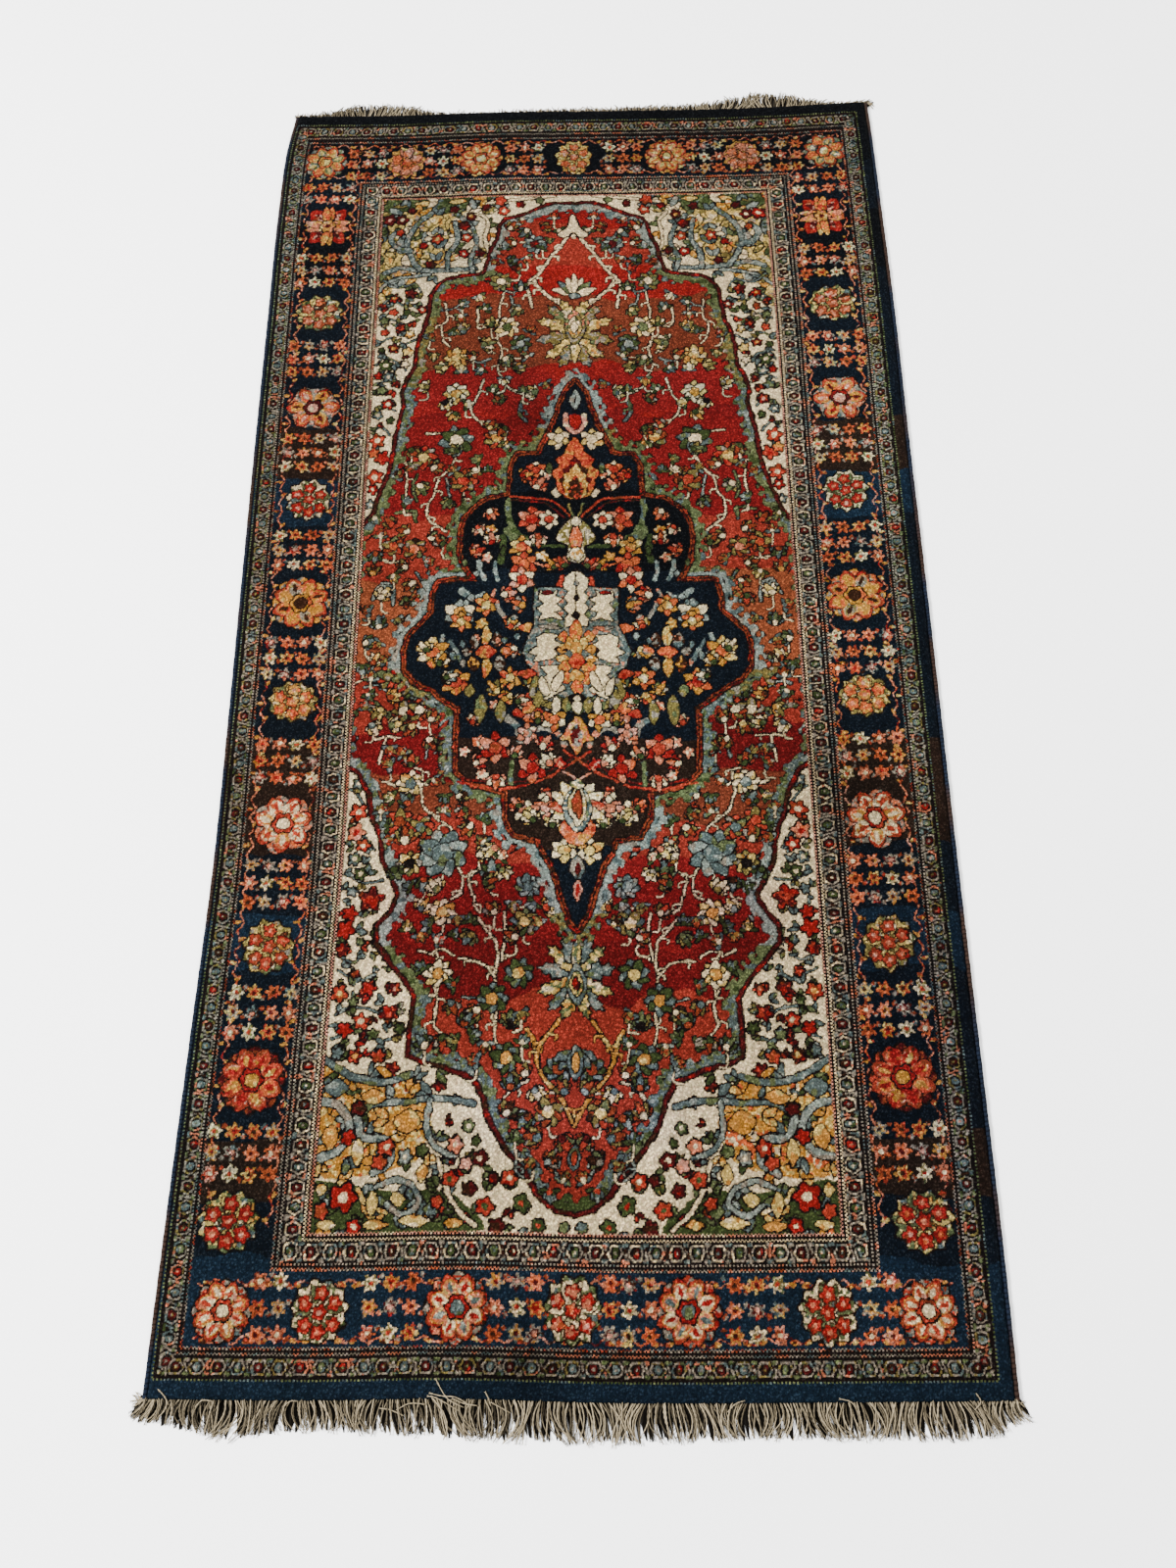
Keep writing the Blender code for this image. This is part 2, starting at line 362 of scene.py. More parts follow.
def whole_outline(half):
    """Both halves of an outline that is the same on the left and on the right."""
    half = np.asarray(half, float)
    other = np.column_stack([2 * MIDDLE - half[::-1, 0], half[::-1, 1]])
    return np.vstack([half, other[1:-1]])


def tie_band(part, where, yarns, y):
    """Ties a band in yarns that change along the rug, each down to its own place."""
    done = np.zeros(where.shape, bool)
    for reach, yarn in yarns:
        here = where & (y >= reach) & ~done
        tie(part, here, (yarn, "sage") if yarn in ("slate", "olive") else yarn)
        done |= here


def toothed_ground(half, ground, yarns, line, line_width, band_width, outward):
    """A ground with a coloured line and a toothed band along its outline, inside it or outside it."""
    outline = whole_outline(half)
    part, x, y = knots_near(outline, line_width + band_width + 10)
    distance = distance_to_edge(x, y, outline)
    waves = np.sin(x / 3.4 + 1.3 * np.sin(y / 9)) * np.sin(y / 3.6 + 1.1 * np.sin(x / 8))
    teeth = TOOTH_LENGTH * np.clip(waves + 0.35, 0, 1) ** 0.6
    if outward:
        teeth *= LONGER_TEETH
        tips = line_width + band_width + teeth
        tie(part, distance < tips + OUTLINE, "ink")
        tie_band(part, distance < tips, yarns, y)
        tie(part, distance < line_width + THIN_OUTLINE, "ink")
        tie(part, distance < line_width, line)
        tie(part, np.abs(distance - 0.5 * line_width) < 0.8, "ink")
        tie(part, distance < 0.6, "ink")
        tie(part, distance < -1.2, ground)
        return
    tips = -line_width - band_width - teeth
    tie(part, distance < OUTLINE, "ink")
    tie(part, distance < 0, line)
    tie(part, distance < -line_width, "ink")
    tie_band(part, distance < -line_width - 1.6, yarns, y)
    tie(part, distance < tips, "ink")
    tie(part, distance < tips - THIN_OUTLINE, ground)


in_field = (knot_x > FIELD["left"]) & (knot_x < FIELD["right"])
in_field &= (knot_y > FIELD["front"]) & (knot_y < FIELD["back"])
whole_plan = (slice(None), slice(None))
tie(whole_plan, in_field, "ivory")


def scatter_leaves(places, yarns, shortest, longest, seed):
    """Small leaves in pairs, one pair near each place, turned as the weaver's fancy took them."""
    fancy = np.random.default_rng(seed)
    for number, (x, y) in enumerate(places):
        x, y = x + fancy.uniform(-5, 5), y + fancy.uniform(-5, 5)
        length, angle = fancy.uniform(shortest, longest), fancy.uniform(0, 360)
        for spread in (-32, 32):
            petal(x, y, length, 0.46 * length, angle + spread, yarns[number % len(yarns)], edge_width=1.9)


# Far corners: a pale green and yellow patch under grey-blue stems, with leaves and dark red flowers
fill_shape([(160, 1645), (300, 1645), (290, 1612), (262, 1590), (268, 1540), (252, 1506), (206, 1500),
            (180, 1462), (160, 1430)], ("yellow", "olive"), edge=None)
fill_shape([(160, 1650), (322, 1650), (300, 1622), (250, 1612), (196, 1618), (160, 1610)], ("moss", "sage"))
for x, y, wide, high, yarn in [
    (224, 1632, 26, 9, "yellow"), (275, 1633, 26, 8, "yellow"), (188, 1628, 22, 7, "olive"),
    (242, 1604, 20, 26, "yellow"), (212, 1590, 10, 16, "gold"), (262, 1590, 10, 22, "yellow"),
    (176, 1530, 16, 36, "yellow"), (170, 1490, 14, 26, "sage"), (248, 1532, 22, 36, "yellow"),
    (166, 1578, 10, 40, "slate"), (196, 1556, 18, 30, "sky"), (228, 1566, 14, 26, "sky"),
]:
    spot(x, y, wide, high, yarn)
far_places = [(x, y) for y in range(1468, 1650, 24) for x in range(168, 345, 25) if x < 250 or y > 1500]
scatter_leaves(far_places, [("mustard", "yellow"), "slate", ("sage", "moss"), "cream", ("olive", "yellow"),
                            "sky"], 13, 21, 91)
for points, yarn, width in [
    ([(172, 1500), (196, 1508), (222, 1502), (262, 1500), (300, 1500)], ("sky", "slate"), 7.0),
    ([(300, 1496), (296, 1520), (306, 1545), (300, 1575), (282, 1600)], ("slate", "sky"), 6.5),
    ([(222, 1504), (206, 1530), (202, 1560), (214, 1590), (236, 1612)], ("sky", "slate"), 7.0),
    ([(206, 1540), (184, 1548), (176, 1566), (188, 1580)], ("slate", "sky"), 8.0),
    ([(262, 1500), (264, 1530), (276, 1556), (272, 1590)], ("sky", "slate"), 6.5),
    ([(160, 1460), (176, 1480), (200, 1490), (236, 1494)], "sky", 4.0),
    ([(310, 1606), (322, 1590), (318, 1560), (324, 1530)], "cream", 4.0),
    ([(320, 1628), (345, 1632), (380, 1636), (420, 1640)], "cream", 4.0),
]:
    draw_stem(points, yarn, width=width, edge="ink")
for x, y, radius, yarn, heart in [
    (174, 1600, 11, "maroon", "pink"), (192, 1600, 9, "maroon", "cream"), (296, 1602, 8, "maroon", "gold"),
    (344, 1612, 9, "brick", "cream"), (340, 1632, 9, "brick", None), (318, 1620, 6, "maroon", None),
    (286, 1584, 8, "maroon", None), (290, 1560, 8, "brick", "cream"), (286, 1530, 8, "crimson", "cream"),
    (246, 1560, 9, "brick", "yellow"), (226, 1548, 6, "crimson", None), (310, 1532, 7, "maroon", None),
    (370, 1624, 6, "maroon", None), (398, 1632, 6, "sage", None), (238, 1512, 7, "maroon", None),
    (190, 1576, 6, "brick", None), (270, 1618, 7, "maroon", None), (206, 1618, 6, "maroon", None),
]:
    blossom(x, y, radius, yarn, heart=heart, petals=5)

# Side stretches of the ivory corners: curling dark stems, red and maroon flowers and small grey leaves
for points in [
    [(170, 1485), (190, 1470), (214, 1476), (226, 1462)],
    [(166, 1430), (180, 1450), (200, 1436), (222, 1440)],
    [(166, 1402), (186, 1412), (206, 1402), (224, 1410)],
    [(168, 1370), (186, 1378), (204, 1366), (220, 1374)],
    [(166, 1330), (176, 1344), (194, 1336), (208, 1320)], [(166, 1296), (182, 1304), (200, 1290)],
    [(166, 1250), (180, 1262), (196, 1250)], [(166, 1212), (178, 1222), (192, 1208)],
    [(166, 680), (176, 672), (184, 660)], [(166, 612), (186, 618), (200, 600)],
    [(166, 570), (190, 560), (212, 562)], [(166, 470), (186, 462), (196, 470)],
    [(168, 452), (190, 440), (214, 446)], [(170, 400), (200, 408), (230, 398), (250, 404)],
    [(168, 372), (196, 380), (222, 368), (250, 376)], [(172, 350), (200, 352), (230, 346)],
]:
    draw_stem(points, "slate", width=2.2, edge="ink", edge_width=1.4)
side_places = [(x, y) for y in range(1196, 1462, 17) for x in range(172, 236, 17)
               if x < 172 + 0.25 * (y - 1180)]
side_places += [(x, y) for y in range(350, 690, 17) for x in range(172, 252, 18)
                if x < 262 - 0.26 * (y - 340)]
scatter_leaves(side_places, ["slate", ("sage", "moss"), ("maroon", "brick"), "slate", ("olive", "sage")], 7,
               12, 92)
for x, y, radius, yarn, heart in [
    (210, 1458, 9, "maroon", None), (186, 1450, 8, "maroon", "gold"), (228, 1430, 7, "maroon", "cream"),
    (186, 1426, 6, "brick", None), (206, 1424, 6, "moss", None), (174, 1410, 7, "sage", None),
    (198, 1396, 7, "maroon", None), (212, 1384, 7, "yellow", "cream"), (176, 1388, 6, "brick", None),
    (190, 1360, 8, "maroon", "gold"), (210, 1352, 8, "yellow", None), (172, 1356, 5, "moss", None),
    (180, 1330, 10, "moss", "cream"), (206, 1330, 6, "cream", None), (184, 1310, 8, "slate", "cream"),
    (170, 1312, 6, "crimson", None), (196, 1296, 6, "maroon", None), (176, 1286, 7, "sage", None),
    (186, 1262, 9, "maroon", "pink"), (172, 1244, 7, "slate", "cream"), (190, 1234, 6, "moss", None),
    (174, 1200, 12, "brick", "cream"), (182, 1172, 12, "brick", "crimson"), (170, 1180, 8, "orange", None),
    (174, 1140, 12, "brick", "cream"), (172, 1120, 8, "crimson", "cream"), (170, 1096, 8, "slate", "cream"),
    (176, 688, 8, "slate", "cream"), (178, 650, 12, "brick", "cream"), (176, 622, 12, "salmon", "crimson"),
    (186, 606, 9, "brick", "cream"), (176, 588, 8, "slate", "cream"), (186, 570, 8, "moss", "cream"),
    (176, 548, 7, "slate", None), (200, 538, 16, "maroon", None), (176, 520, 9, "crimson", None),
    (172, 500, 12, "crimson", None), (192, 486, 5, "sage", None), (170, 476, 8, "maroon", None),
    (172, 424, 10, "brick", "yellow"), (188, 448, 6, "maroon", None), (206, 430, 10, "maroon", None),
    (236, 428, 8, "maroon", "pink"), (190, 414, 6, "sage", None), (232, 400, 11, "maroon", None),
    (200, 392, 9, "brick", "cream"), (182, 382, 9, "crimson", None), (246, 382, 7, "moss", None),
    (214, 376, 7, "sage", None), (196, 352, 9, "maroon", "gold"), (224, 350, 8, "brick", None),
    (176, 356, 7, "slate", None), (240, 336, 8, "maroon", None), (262, 324, 9, "moss", "gold"),
    (296, 318, 8, "maroon", None), (282, 306, 6, "slate", None), (316, 300, 6, "slate", "cream"),
]:
    blossom(x, y, radius, (yarn, "brick" if yarn == "maroon" else yarn), heart=heart, petals=5, depth=0.45,
            turn=x)

# Near corners: gold and green patches, thick grey-blue stems, and larger red and yellow flowers
fill_shape([(160, 158), (342, 158), (330, 190), (300, 204), (240, 204), (160, 215)], "moss", edge=None)
fill_shape([(160, 345), (186, 332), (236, 328), (262, 316), (286, 296), (286, 262), (262, 230), (160, 226)],
           ("mustard", "yellow"), edge=None)
near_places = [(x, y) for y in range(168, 340, 23) for x in range(168, 300, 24)]
scatter_leaves(near_places, [("mustard", "gold"), "slate", ("moss", "sage"), ("gold", "yellow"), "slate"], 12,
               19, 93)
near_places = [(x, y) for y in range(168, 330, 18) for x in range(300, 400, 19) if x + y < 590]
scatter_leaves(near_places, [("sage", "moss"), "slate", ("maroon", "brick"), ("moss", "olive")], 8, 12, 94)
for points, yarn, width in [
    ([(162, 348), (178, 338), (204, 326), (236, 322), (262, 330)], "slate", 7.0),
    ([(204, 282), (224, 298), (262, 300), (304, 302), (336, 296)], "slate", 6.0),
    ([(162, 300), (182, 296), (196, 276), (190, 250), (166, 240)], "sky", 8.0),
    ([(204, 282), (212, 262), (240, 258), (244, 236), (226, 222)], "sky", 7.0),
    ([(286, 300), (284, 270), (296, 248), (318, 240)], "sky", 5.0),
    ([(232, 208), (252, 216), (272, 208), (280, 190), (262, 180), (244, 190)], "sky", 5.0),
    ([(300, 236), (306, 210), (322, 184), (342, 166)], "cream", 4.0),
    ([(212, 206), (222, 190), (244, 182)], "yellow", 4.0),
]:
    draw_stem(points, yarn, width=width, edge="ink")
for x, y, wide, high, yarn in [
    (222, 306, 26, 16, "gold"), (262, 278, 30, 26, "gold"), (178, 316, 26, 20, "slate"),
    (176, 262, 18, 26, "gold"), (208, 246, 12, 28, "yellow"), (178, 170, 22, 10, "yellow"),
    (232, 168, 28, 10, "gold"), (276, 172, 34, 12, "yellow"), (318, 170, 20, 10, "gold"),
    (256, 196, 16, 14, "yellow"), (294, 184, 16, 14, "sage"), (282, 222, 12, 20, "yellow"),
    (172, 206, 12, 14, "yellow"), (228, 190, 12, 26, "yellow"),
]:
    spot(x, y, wide, high, yarn)
for x, y, radius, yarn, heart in [
    (196, 198, 16, "crimson", "cream"), (196, 262, 8, "crimson", None), (240, 250, 9, "brick", "cream"),
    (206, 292, 8, "maroon", None), (232, 234, 8, "brick", None), (262, 240, 8, "sky", "cream"),
    (316, 252, 9, "salmon", "cream"), (330, 232, 8, "pink", None), (346, 238, 9, "maroon", "cream"),
    (312, 216, 9, "brick", "moss"), (334, 206, 8, "maroon", None), (352, 186, 10, "brick", "moss"),
    (378, 216, 9, "brick", "cream"), (392, 190, 10, "moss", "brick"), (366, 166, 9, "maroon", None),
    (412, 168, 8, "moss", "brick"), (362, 216, 6, "maroon", None), (300, 192, 7, "brick", None),
    (280, 246, 7, "sage", None), (172, 184, 8, "brick", None), (210, 168, 8, "crimson", "cream"),
    (440, 166, 6, "sage", None), (330, 272, 7, "sage", "cream"), (340, 256, 5, "moss", None),
]:
    blossom(x, y, radius, yarn, heart=heart, petals=5)

# Red field: a toothed band round the ground, thin cream stems with twigs, and many small flowers
toothed_ground(RED_EDGE, "red", BAND_YARNS, "maroon", 4.0, 8.5, outward=False)
STEM_SHARE, TWIG_SHARE = 0.85, 0.6
TWIG_REACH = 9
for points, yarn, width in [
    ([(449, 1582), (440, 1562), (428, 1540), (414, 1520), (404, 1500), (392, 1478), (404, 1456), (420, 1440),
      (436, 1426)], "cream", 5.0),
    ([(392, 1486), (382, 1470), (386, 1446), (388, 1428)], "cream", 4.0),
    ([(346, 1456), (342, 1430), (340, 1400), (338, 1372)], "cream", 2.4),
    ([(338, 1372), (344, 1350), (340, 1320), (348, 1300)], "cream", 2.4),
    ([(262, 1440), (264, 1410), (258, 1396), (262, 1372), (270, 1360)], "cream", 2.4),
    ([(262, 1426), (276, 1430), (284, 1440)], "sky", 2.4),
    ([(310, 1430), (310, 1394), (330, 1394)], "cream", 2.4),
    ([(336, 1462), (356, 1456), (372, 1460)], "sky", 2.4),
    ([(356, 1450), (362, 1430), (372, 1420)], "sky", 2.4),
    ([(290, 1334), (316, 1330), (330, 1336)], "sky", 2.4),
    ([(312, 1376), (324, 1350), (334, 1346)], "cream", 2.4),
    ([(320, 1300), (314, 1276), (304, 1248), (318, 1226), (328, 1218)], "cream", 2.6),
    ([(346, 1296), (362, 1280), (378, 1272)], "cream", 2.4),
    ([(376, 1262), (372, 1244), (380, 1228)], "slate", 5.0),
    ([(242, 1210), (262, 1210), (282, 1212), (292, 1210)], "cream", 2.4),
    ([(284, 1166), (276, 1150), (262, 1134), (256, 1110), (248, 1092), (250, 1070), (268, 1056), (274, 1050)],
     "cream", 2.6),
    ([(272, 1136), (276, 1118), (278, 1104)], "sky", 2.4),
    ([(216, 1160), (218, 1130), (216, 1104)], "cream", 2.2),
    ([(232, 1142), (226, 1120), (232, 1100)], "sage", 3.0),
    ([(206, 1082), (228, 1084), (232, 1068)], "sage", 4.0),
    ([(188, 1008), (204, 1006), (218, 1006)], "cream", 2.4),
    ([(180, 950), (190, 972), (206, 966), (208, 940)], "sky", 3.4),
    ([(170, 918), (184, 914), (196, 922)], "slate", 2.6),
    ([(236, 988), (244, 974), (250, 962)], "slate", 2.6),
    ([(172, 836), (184, 846), (190, 862)], "slate", 2.6), ([(176, 820), (190, 824), (204, 816)], "sky", 2.6),
    ([(192, 800), (204, 784), (210, 776)], "sage", 4.0), ([(192, 748), (212, 750), (224, 748)], "cream", 2.4),
    ([(206, 748), (202, 730), (200, 714)], "cream", 2.2),
    ([(246, 706), (256, 700), (254, 680), (258, 656)], "cream", 2.6),
    ([(258, 656), (272, 640), (290, 628), (296, 612)], "cream", 2.4),
    ([(212, 688), (228, 684), (248, 688), (262, 684)], "cream", 3.6),
    ([(258, 720), (262, 736), (270, 744)], "sky", 2.4),
    ([(302, 578), (310, 562), (308, 544), (298, 536)], "cream", 2.4),
    ([(322, 540), (318, 562), (330, 572), (342, 578)], "cream", 2.4),
    ([(324, 540), (326, 528), (334, 520)], "cream", 2.4),
    ([(330, 514), (340, 500), (352, 486), (356, 466), (354, 440), (358, 410), (356, 380), (360, 356)],
     "cream", 2.6),
    ([(362, 520), (364, 490), (360, 462)], "cream", 2.4),
    ([(354, 440), (340, 456), (322, 462), (310, 462)], "cream", 2.4),
    ([(282, 430), (288, 410), (286, 386), (296, 372)], "cream", 2.4),
    ([(318, 418), (330, 416), (342, 414)], "sky", 2.4),
    ([(262, 474), (276, 470), (290, 474), (304, 466)], "cream", 2.2),
    ([(394, 380), (404, 360), (408, 340)], "gold", 6.0),
    ([(430, 392), (416, 372), (406, 352), (412, 330), (430, 308), (442, 290), (449, 274)], "gold", 4.0),
    ([(388, 244), (384, 226), (396, 214)], "sky", 2.4), ([(430, 250), (424, 234), (430, 222)], "sky", 2.6),
    ([(368, 300), (380, 316), (396, 322)], "cream", 2.6),
    ([(316, 1080), (300, 1092), (296, 1106)], "sage", 4.0),
]:
    draw_stem(points, yarn, width=STEM_SHARE * width, edge="ink")
    for number, (x, y) in enumerate(curve_through(points)[4:-2:5]):
        tip = x + TWIG_REACH * (-1) ** number
        twig = [(x, y), (tip, y - 2), (tip, y - 7)]
        draw_stem(twig, yarn, width=TWIG_SHARE * width, edge="ink", edge_width=1.2)

# The second yarn of a flower, by its first
PARTNER_YARNS = dict(
    slate="moss", yellow="cream", olive="yellow", rust="olive", sage="olive", gold="yellow", cream="yellow",
    brick="olive", sky="slate", maroon="brick",
)
FLOWER_TURNS = (0, 180, 75, -75, 30, 150, -40, -140)


def many_petalled(x, y, radius, yarns, heart, petals=8, turn=0.0, mirrored=True):
    """A flower with separate pointed petals in two yarns round a small heart."""
    for number in range(petals):
        angle = turn + 360 * number / petals
        petal(x, y, radius, 0.62 * radius, angle, yarns[number % 2], edge_width=2.0, mirrored=mirrored)
    blossom(x, y, 0.4 * radius, heart or yarns[1], petals=5, depth=0.15, edge_width=1.5, mirrored=mirrored)


def fan_flower(x, y, size, angle, yarns, heart, mirrored=True):
    """A flower seen from the side: petals fanned out from a small green cup."""
    for spread in (-78, 78, -42, 42, 0):
        yarn = yarns[0] if abs(spread) != 42 else yarns[1]
        ragged_leaf(x, y, size * (1.2 - abs(spread) / 260), 0.62 * size, angle + spread, yarn, 1.8, mirrored)
    blossom(x, y, 0.28 * size, heart or "moss", petals=4, depth=0.0, edge_width=1.5, mirrored=mirrored)


def field_flower(number, x, y, radius, yarn, heart):
    """One of the red field's flowers: many-petalled, fanned, or a bud between two leaves, some on a stem."""
    yarns = (yarn, PARTNER_YARNS.get(yarn, "cream"))
    turn = FLOWER_TURNS[(number * 5) % len(FLOWER_TURNS)]
    if number % 3 == 0:
        aside = TWIG_REACH * (-1) ** number
        draw_stem([(x, y), (x + 1, y - 0.9 * radius - 12), (x + aside, y - radius - 14)], "cream", width=1.8,
                  edge="ink", edge_width=1.2)
    if radius >= 12:
        many_petalled(x, y, 1.3 * radius, yarns, heart, turn=turn / 4)
    elif radius >= 9:
        fan_flower(x, y, 1.45 * radius, turn, yarns, heart)
    else:
        leaf = "slate" if yarn in ("rust", "maroon", "brick", "yellow") else "moss"
        petal(x, y, 1.3 * radius, 0.6 * radius, turn + 100, leaf, edge_width=1.7)
        petal(x, y, 1.3 * radius, 0.6 * radius, turn - 100, leaf, edge_width=1.7)
        for spread, size in ((-42, 1.2), (42, 1.2), (0, 1.45)):
            petal(x, y, size * radius, 0.72 * radius, turn + spread, (yarn, yarns[1]), edge_width=1.6)
        blossom(x, y, 0.36 * radius, heart or yarns[1], petals=4, depth=0.0, edge=None)


# Flowers of the red field, from the back end to the front: place, radius, petal yarn and heart yarn
for number, (x, y, radius, yarn, heart) in enumerate([
    (420, 1598, 8, "rust", "cream"), (428, 1574, 8, "slate", "cream"), (404, 1578, 9, "rust", "maroon"),
    (380, 1572, 9, "slate", "cream"), (356, 1578, 9, "rust", "cream"), (374, 1596, 7, "brick", "cream"),
    (392, 1546, 13, "sky", "maroon"), (362, 1548, 9, "rust", "cream"), (346, 1540, 8, "sky", None),
    (380, 1520, 8, "rust", "cream"), (354, 1514, 9, "slate", None), (336, 1516, 8, "rust", "maroon"),
    (402, 1540, 7, "slate", None), (414, 1556, 6, "sage", None), (342, 1476, 13, "sage", "cream"),
    (368, 1500, 8, "maroon", None), (372, 1462, 9, "slate", "cream"), (310, 1450, 8, "yellow", "cream"),
    (286, 1436, 8, "slate", "cream"), (368, 1424, 9, "sage", "yellow"), (320, 1426, 8, "slate", "cream"),
    (284, 1414, 8, "rust", "cream"), (290, 1388, 10, "olive", "slate"), (352, 1392, 14, "yellow", "sage"),
    (330, 1396, 9, "olive", None), (272, 1388, 7, "slate", None), (320, 1362, 11, "olive", "sage"),
    (372, 1362, 12, "slate", "sky"), (386, 1384, 8, "rust", "ink"), (280, 1340, 14, "gold", "yellow"),
    (304, 1338, 9, "rust", "cream"), (264, 1322, 9, "olive", "yellow"), (288, 1316, 8, "yellow", None),
    (350, 1336, 9, "sage", "cream"), (366, 1320, 9, "olive", None), (316, 1318, 8, "slate", "cream"),
    (240, 1376, 7, "rust", None), (248, 1346, 7, "olive", None), (382, 1340, 8, "rust", "yellow"),
    (240, 1290, 9, "yellow", "olive"), (282, 1276, 14, "yellow", "gold"), (266, 1262, 9, "yellow", "ink"),
    (296, 1258, 8, "cream", None), (282, 1242, 9, "gold", None), (334, 1282, 8, "sage", "cream"),
    (350, 1300, 8, "yellow", "rust"), (346, 1262, 9, "rust", "moss"), (392, 1276, 10, "cream", "sage"),
    (376, 1280, 7, "sage", None), (408, 1292, 8, "rust", None), (340, 1200, 14, "rust", "gold"),
    (352, 1216, 9, "rust", None), (330, 1218, 9, "rust", "yellow"), (356, 1190, 8, "olive", "gold"),
    (284, 1196, 19, "slate", "cream"), (286, 1180, 9, "sage", None), (240, 1170, 15, "brick", "yellow"),
    (222, 1184, 9, "rust", None), (254, 1154, 9, "rust", "cream"), (224, 1156, 7, "rust", None),
    (296, 1130, 15, "rust", "brick"), (312, 1148, 9, "rust", "cream"), (282, 1148, 8, "rust", None),
    (316, 1164, 8, "sage", None), (330, 1146, 7, "slate", None), (236, 1124, 10, "sage", "cream"),
    (216, 1100, 8, "sky", None), (278, 1098, 9, "sage", None), (204, 1140, 8, "rust", None),
    (340, 1118, 8, "sage", None), (200, 1064, 9, "rust", "brick"), (222, 1052, 9, "rust", "cream"),
    (186, 1046, 8, "rust", "cream"), (176, 1074, 8, "sage", "cream"), (254, 1040, 9, "rust", "cream"),
    (204, 1030, 12, "rust", "orange"), (232, 1024, 12, "rust", "salmon"), (180, 1018, 9, "slate", "rust"),
    (270, 1030, 9, "rust", None), (222, 998, 9, "rust", "cream"), (178, 988, 9, "rust", "gold"),
    (206, 984, 8, "olive", "cream"), (250, 1004, 8, "rust", None), (232, 972, 9, "rust", "cream"),
    (192, 952, 10, "yellow", "cream"), (226, 948, 9, "rust", None), (240, 946, 8, "rust", "orange"),
    (176, 932, 8, "rust", "slate"), (190, 908, 9, "slate", "cream"), (214, 918, 7, "rust", None),
    (174, 884, 9, "slate", "cream"), (192, 884, 8, "rust", None), (186, 856, 9, "yellow", "rust"),
    (172, 850, 8, "slate", None), (202, 858, 7, "rust", None), (206, 834, 13, "brick", None),
    (184, 832, 8, "rust", "cream"), (182, 810, 8, "slate", "cream"), (210, 806, 9, "gold", "rust"),
    (198, 788, 10, "olive", "yellow"), (234, 806, 9, "slate", None), (228, 786, 12, "rust", "cream"),
    (248, 786, 12, "brick", "cream"), (262, 800, 9, "rust", None), (178, 790, 8, "rust", None),
    (188, 766, 9, "cream", "slate"), (214, 766, 9, "yellow", "sage"), (240, 764, 10, "rust", "yellow"),
    (262, 772, 9, "rust", "cream"), (212, 734, 8, "rust", None), (230, 726, 8, "rust", "olive"),
    (214, 712, 8, "rust", "sage"), (240, 712, 9, "brick", None), (262, 744, 9, "rust", "cream"),
    (276, 732, 9, "rust", None), (282, 704, 7, "rust", None), (240, 686, 13, "cream", "slate"),
    (284, 668, 8, "slate", None), (238, 660, 9, "slate", "rust"), (218, 668, 8, "olive", None),
    (206, 650, 8, "rust", "cream"), (270, 690, 7, "rust", "cream"), (302, 668, 9, "rust", "cream"),
    (310, 650, 9, "rust", None), (284, 648, 8, "rust", "cream"), (230, 636, 13, "brick", "rust"),
    (256, 628, 12, "brick", "slate"), (214, 632, 8, "slate", None), (236, 612, 11, "rust", "cream"),
    (262, 606, 9, "rust", "cream"), (212, 612, 8, "rust", None), (316, 628, 9, "rust", "cream"),
    (334, 636, 8, "slate", None), (306, 606, 7, "slate", None), (334, 608, 8, "rust", "cream"),
    (284, 594, 24, "sky", "slate"), (244, 582, 12, "olive", "ink"), (226, 574, 9, "slate", None),
    (330, 592, 9, "yellow", "cream"), (348, 600, 10, "yellow", "salmon"), (356, 588, 8, "salmon", None),
    (262, 560, 9, "slate", "rust"), (280, 548, 10, "yellow", "olive"), (246, 552, 7, "slate", None),
    (344, 566, 11, "slate", "rust"), (358, 572, 9, "yellow", "olive"), (338, 556, 9, "rust", None),
    (288, 520, 13, "yellow", "gold"), (262, 524, 9, "yellow", "slate"), (306, 512, 8, "rust", None),
    (350, 520, 9, "rust", "cream"), (274, 504, 8, "slate", None), (322, 508, 8, "slate", None),
    (390, 552, 12, "sky", "slate"), (412, 526, 10, "yellow", "rust"), (396, 530, 8, "sky", None),
    (386, 508, 13, "sage", "yellow"), (372, 530, 8, "rust", None), (404, 506, 8, "rust", "yellow"),
    (376, 490, 9, "rust", "cream"), (246, 500, 8, "olive", None), (262, 494, 8, "rust", "gold"),
    (282, 486, 8, "rust", "cream"), (324, 492, 9, "sage", "olive"), (302, 490, 7, "slate", None),
    (286, 446, 13, "yellow", "gold"), (268, 452, 8, "slate", None), (306, 432, 8, "slate", "rust"),
    (352, 416, 14, "slate", "gold"), (304, 410, 9, "rust", "slate"), (382, 446, 14, "slate", "yellow"),
    (334, 402, 9, "rust", "cream"), (320, 386, 9, "slate", "rust"), (296, 370, 9, "rust", None),
    (276, 362, 9, "slate", "cream"), (310, 366, 8, "sage", None), (374, 386, 11, "sage", "ink"),
    (386, 400, 8, "rust", None), (330, 372, 8, "slate", None), (370, 348, 14, "slate", "gold"),
    (388, 366, 8, "slate", "cream"), (346, 362, 8, "rust", "cream"), (392, 330, 9, "rust", "cream"),
    (336, 344, 8, "rust", "slate"), (376, 316, 9, "slate", "rust"), (404, 312, 9, "cream", "slate"),
    (420, 288, 13, "rust", "yellow"), (396, 284, 10, "slate", "rust"), (372, 286, 10, "rust", "cream"),
    (430, 336, 12, "slate", "rust"), (438, 312, 9, "rust", "sky"), (408, 260, 10, "rust", "slate"),
    (384, 258, 8, "slate", None), (436, 260, 9, "brick", "maroon"), (420, 236, 9, "rust", "sky"),
    (402, 236, 8, "rust", None), (438, 216, 8, "rust", "cream"), (424, 204, 8, "slate", "brick"),
]):
    field_flower(number, x, y, radius, yarn, heart)


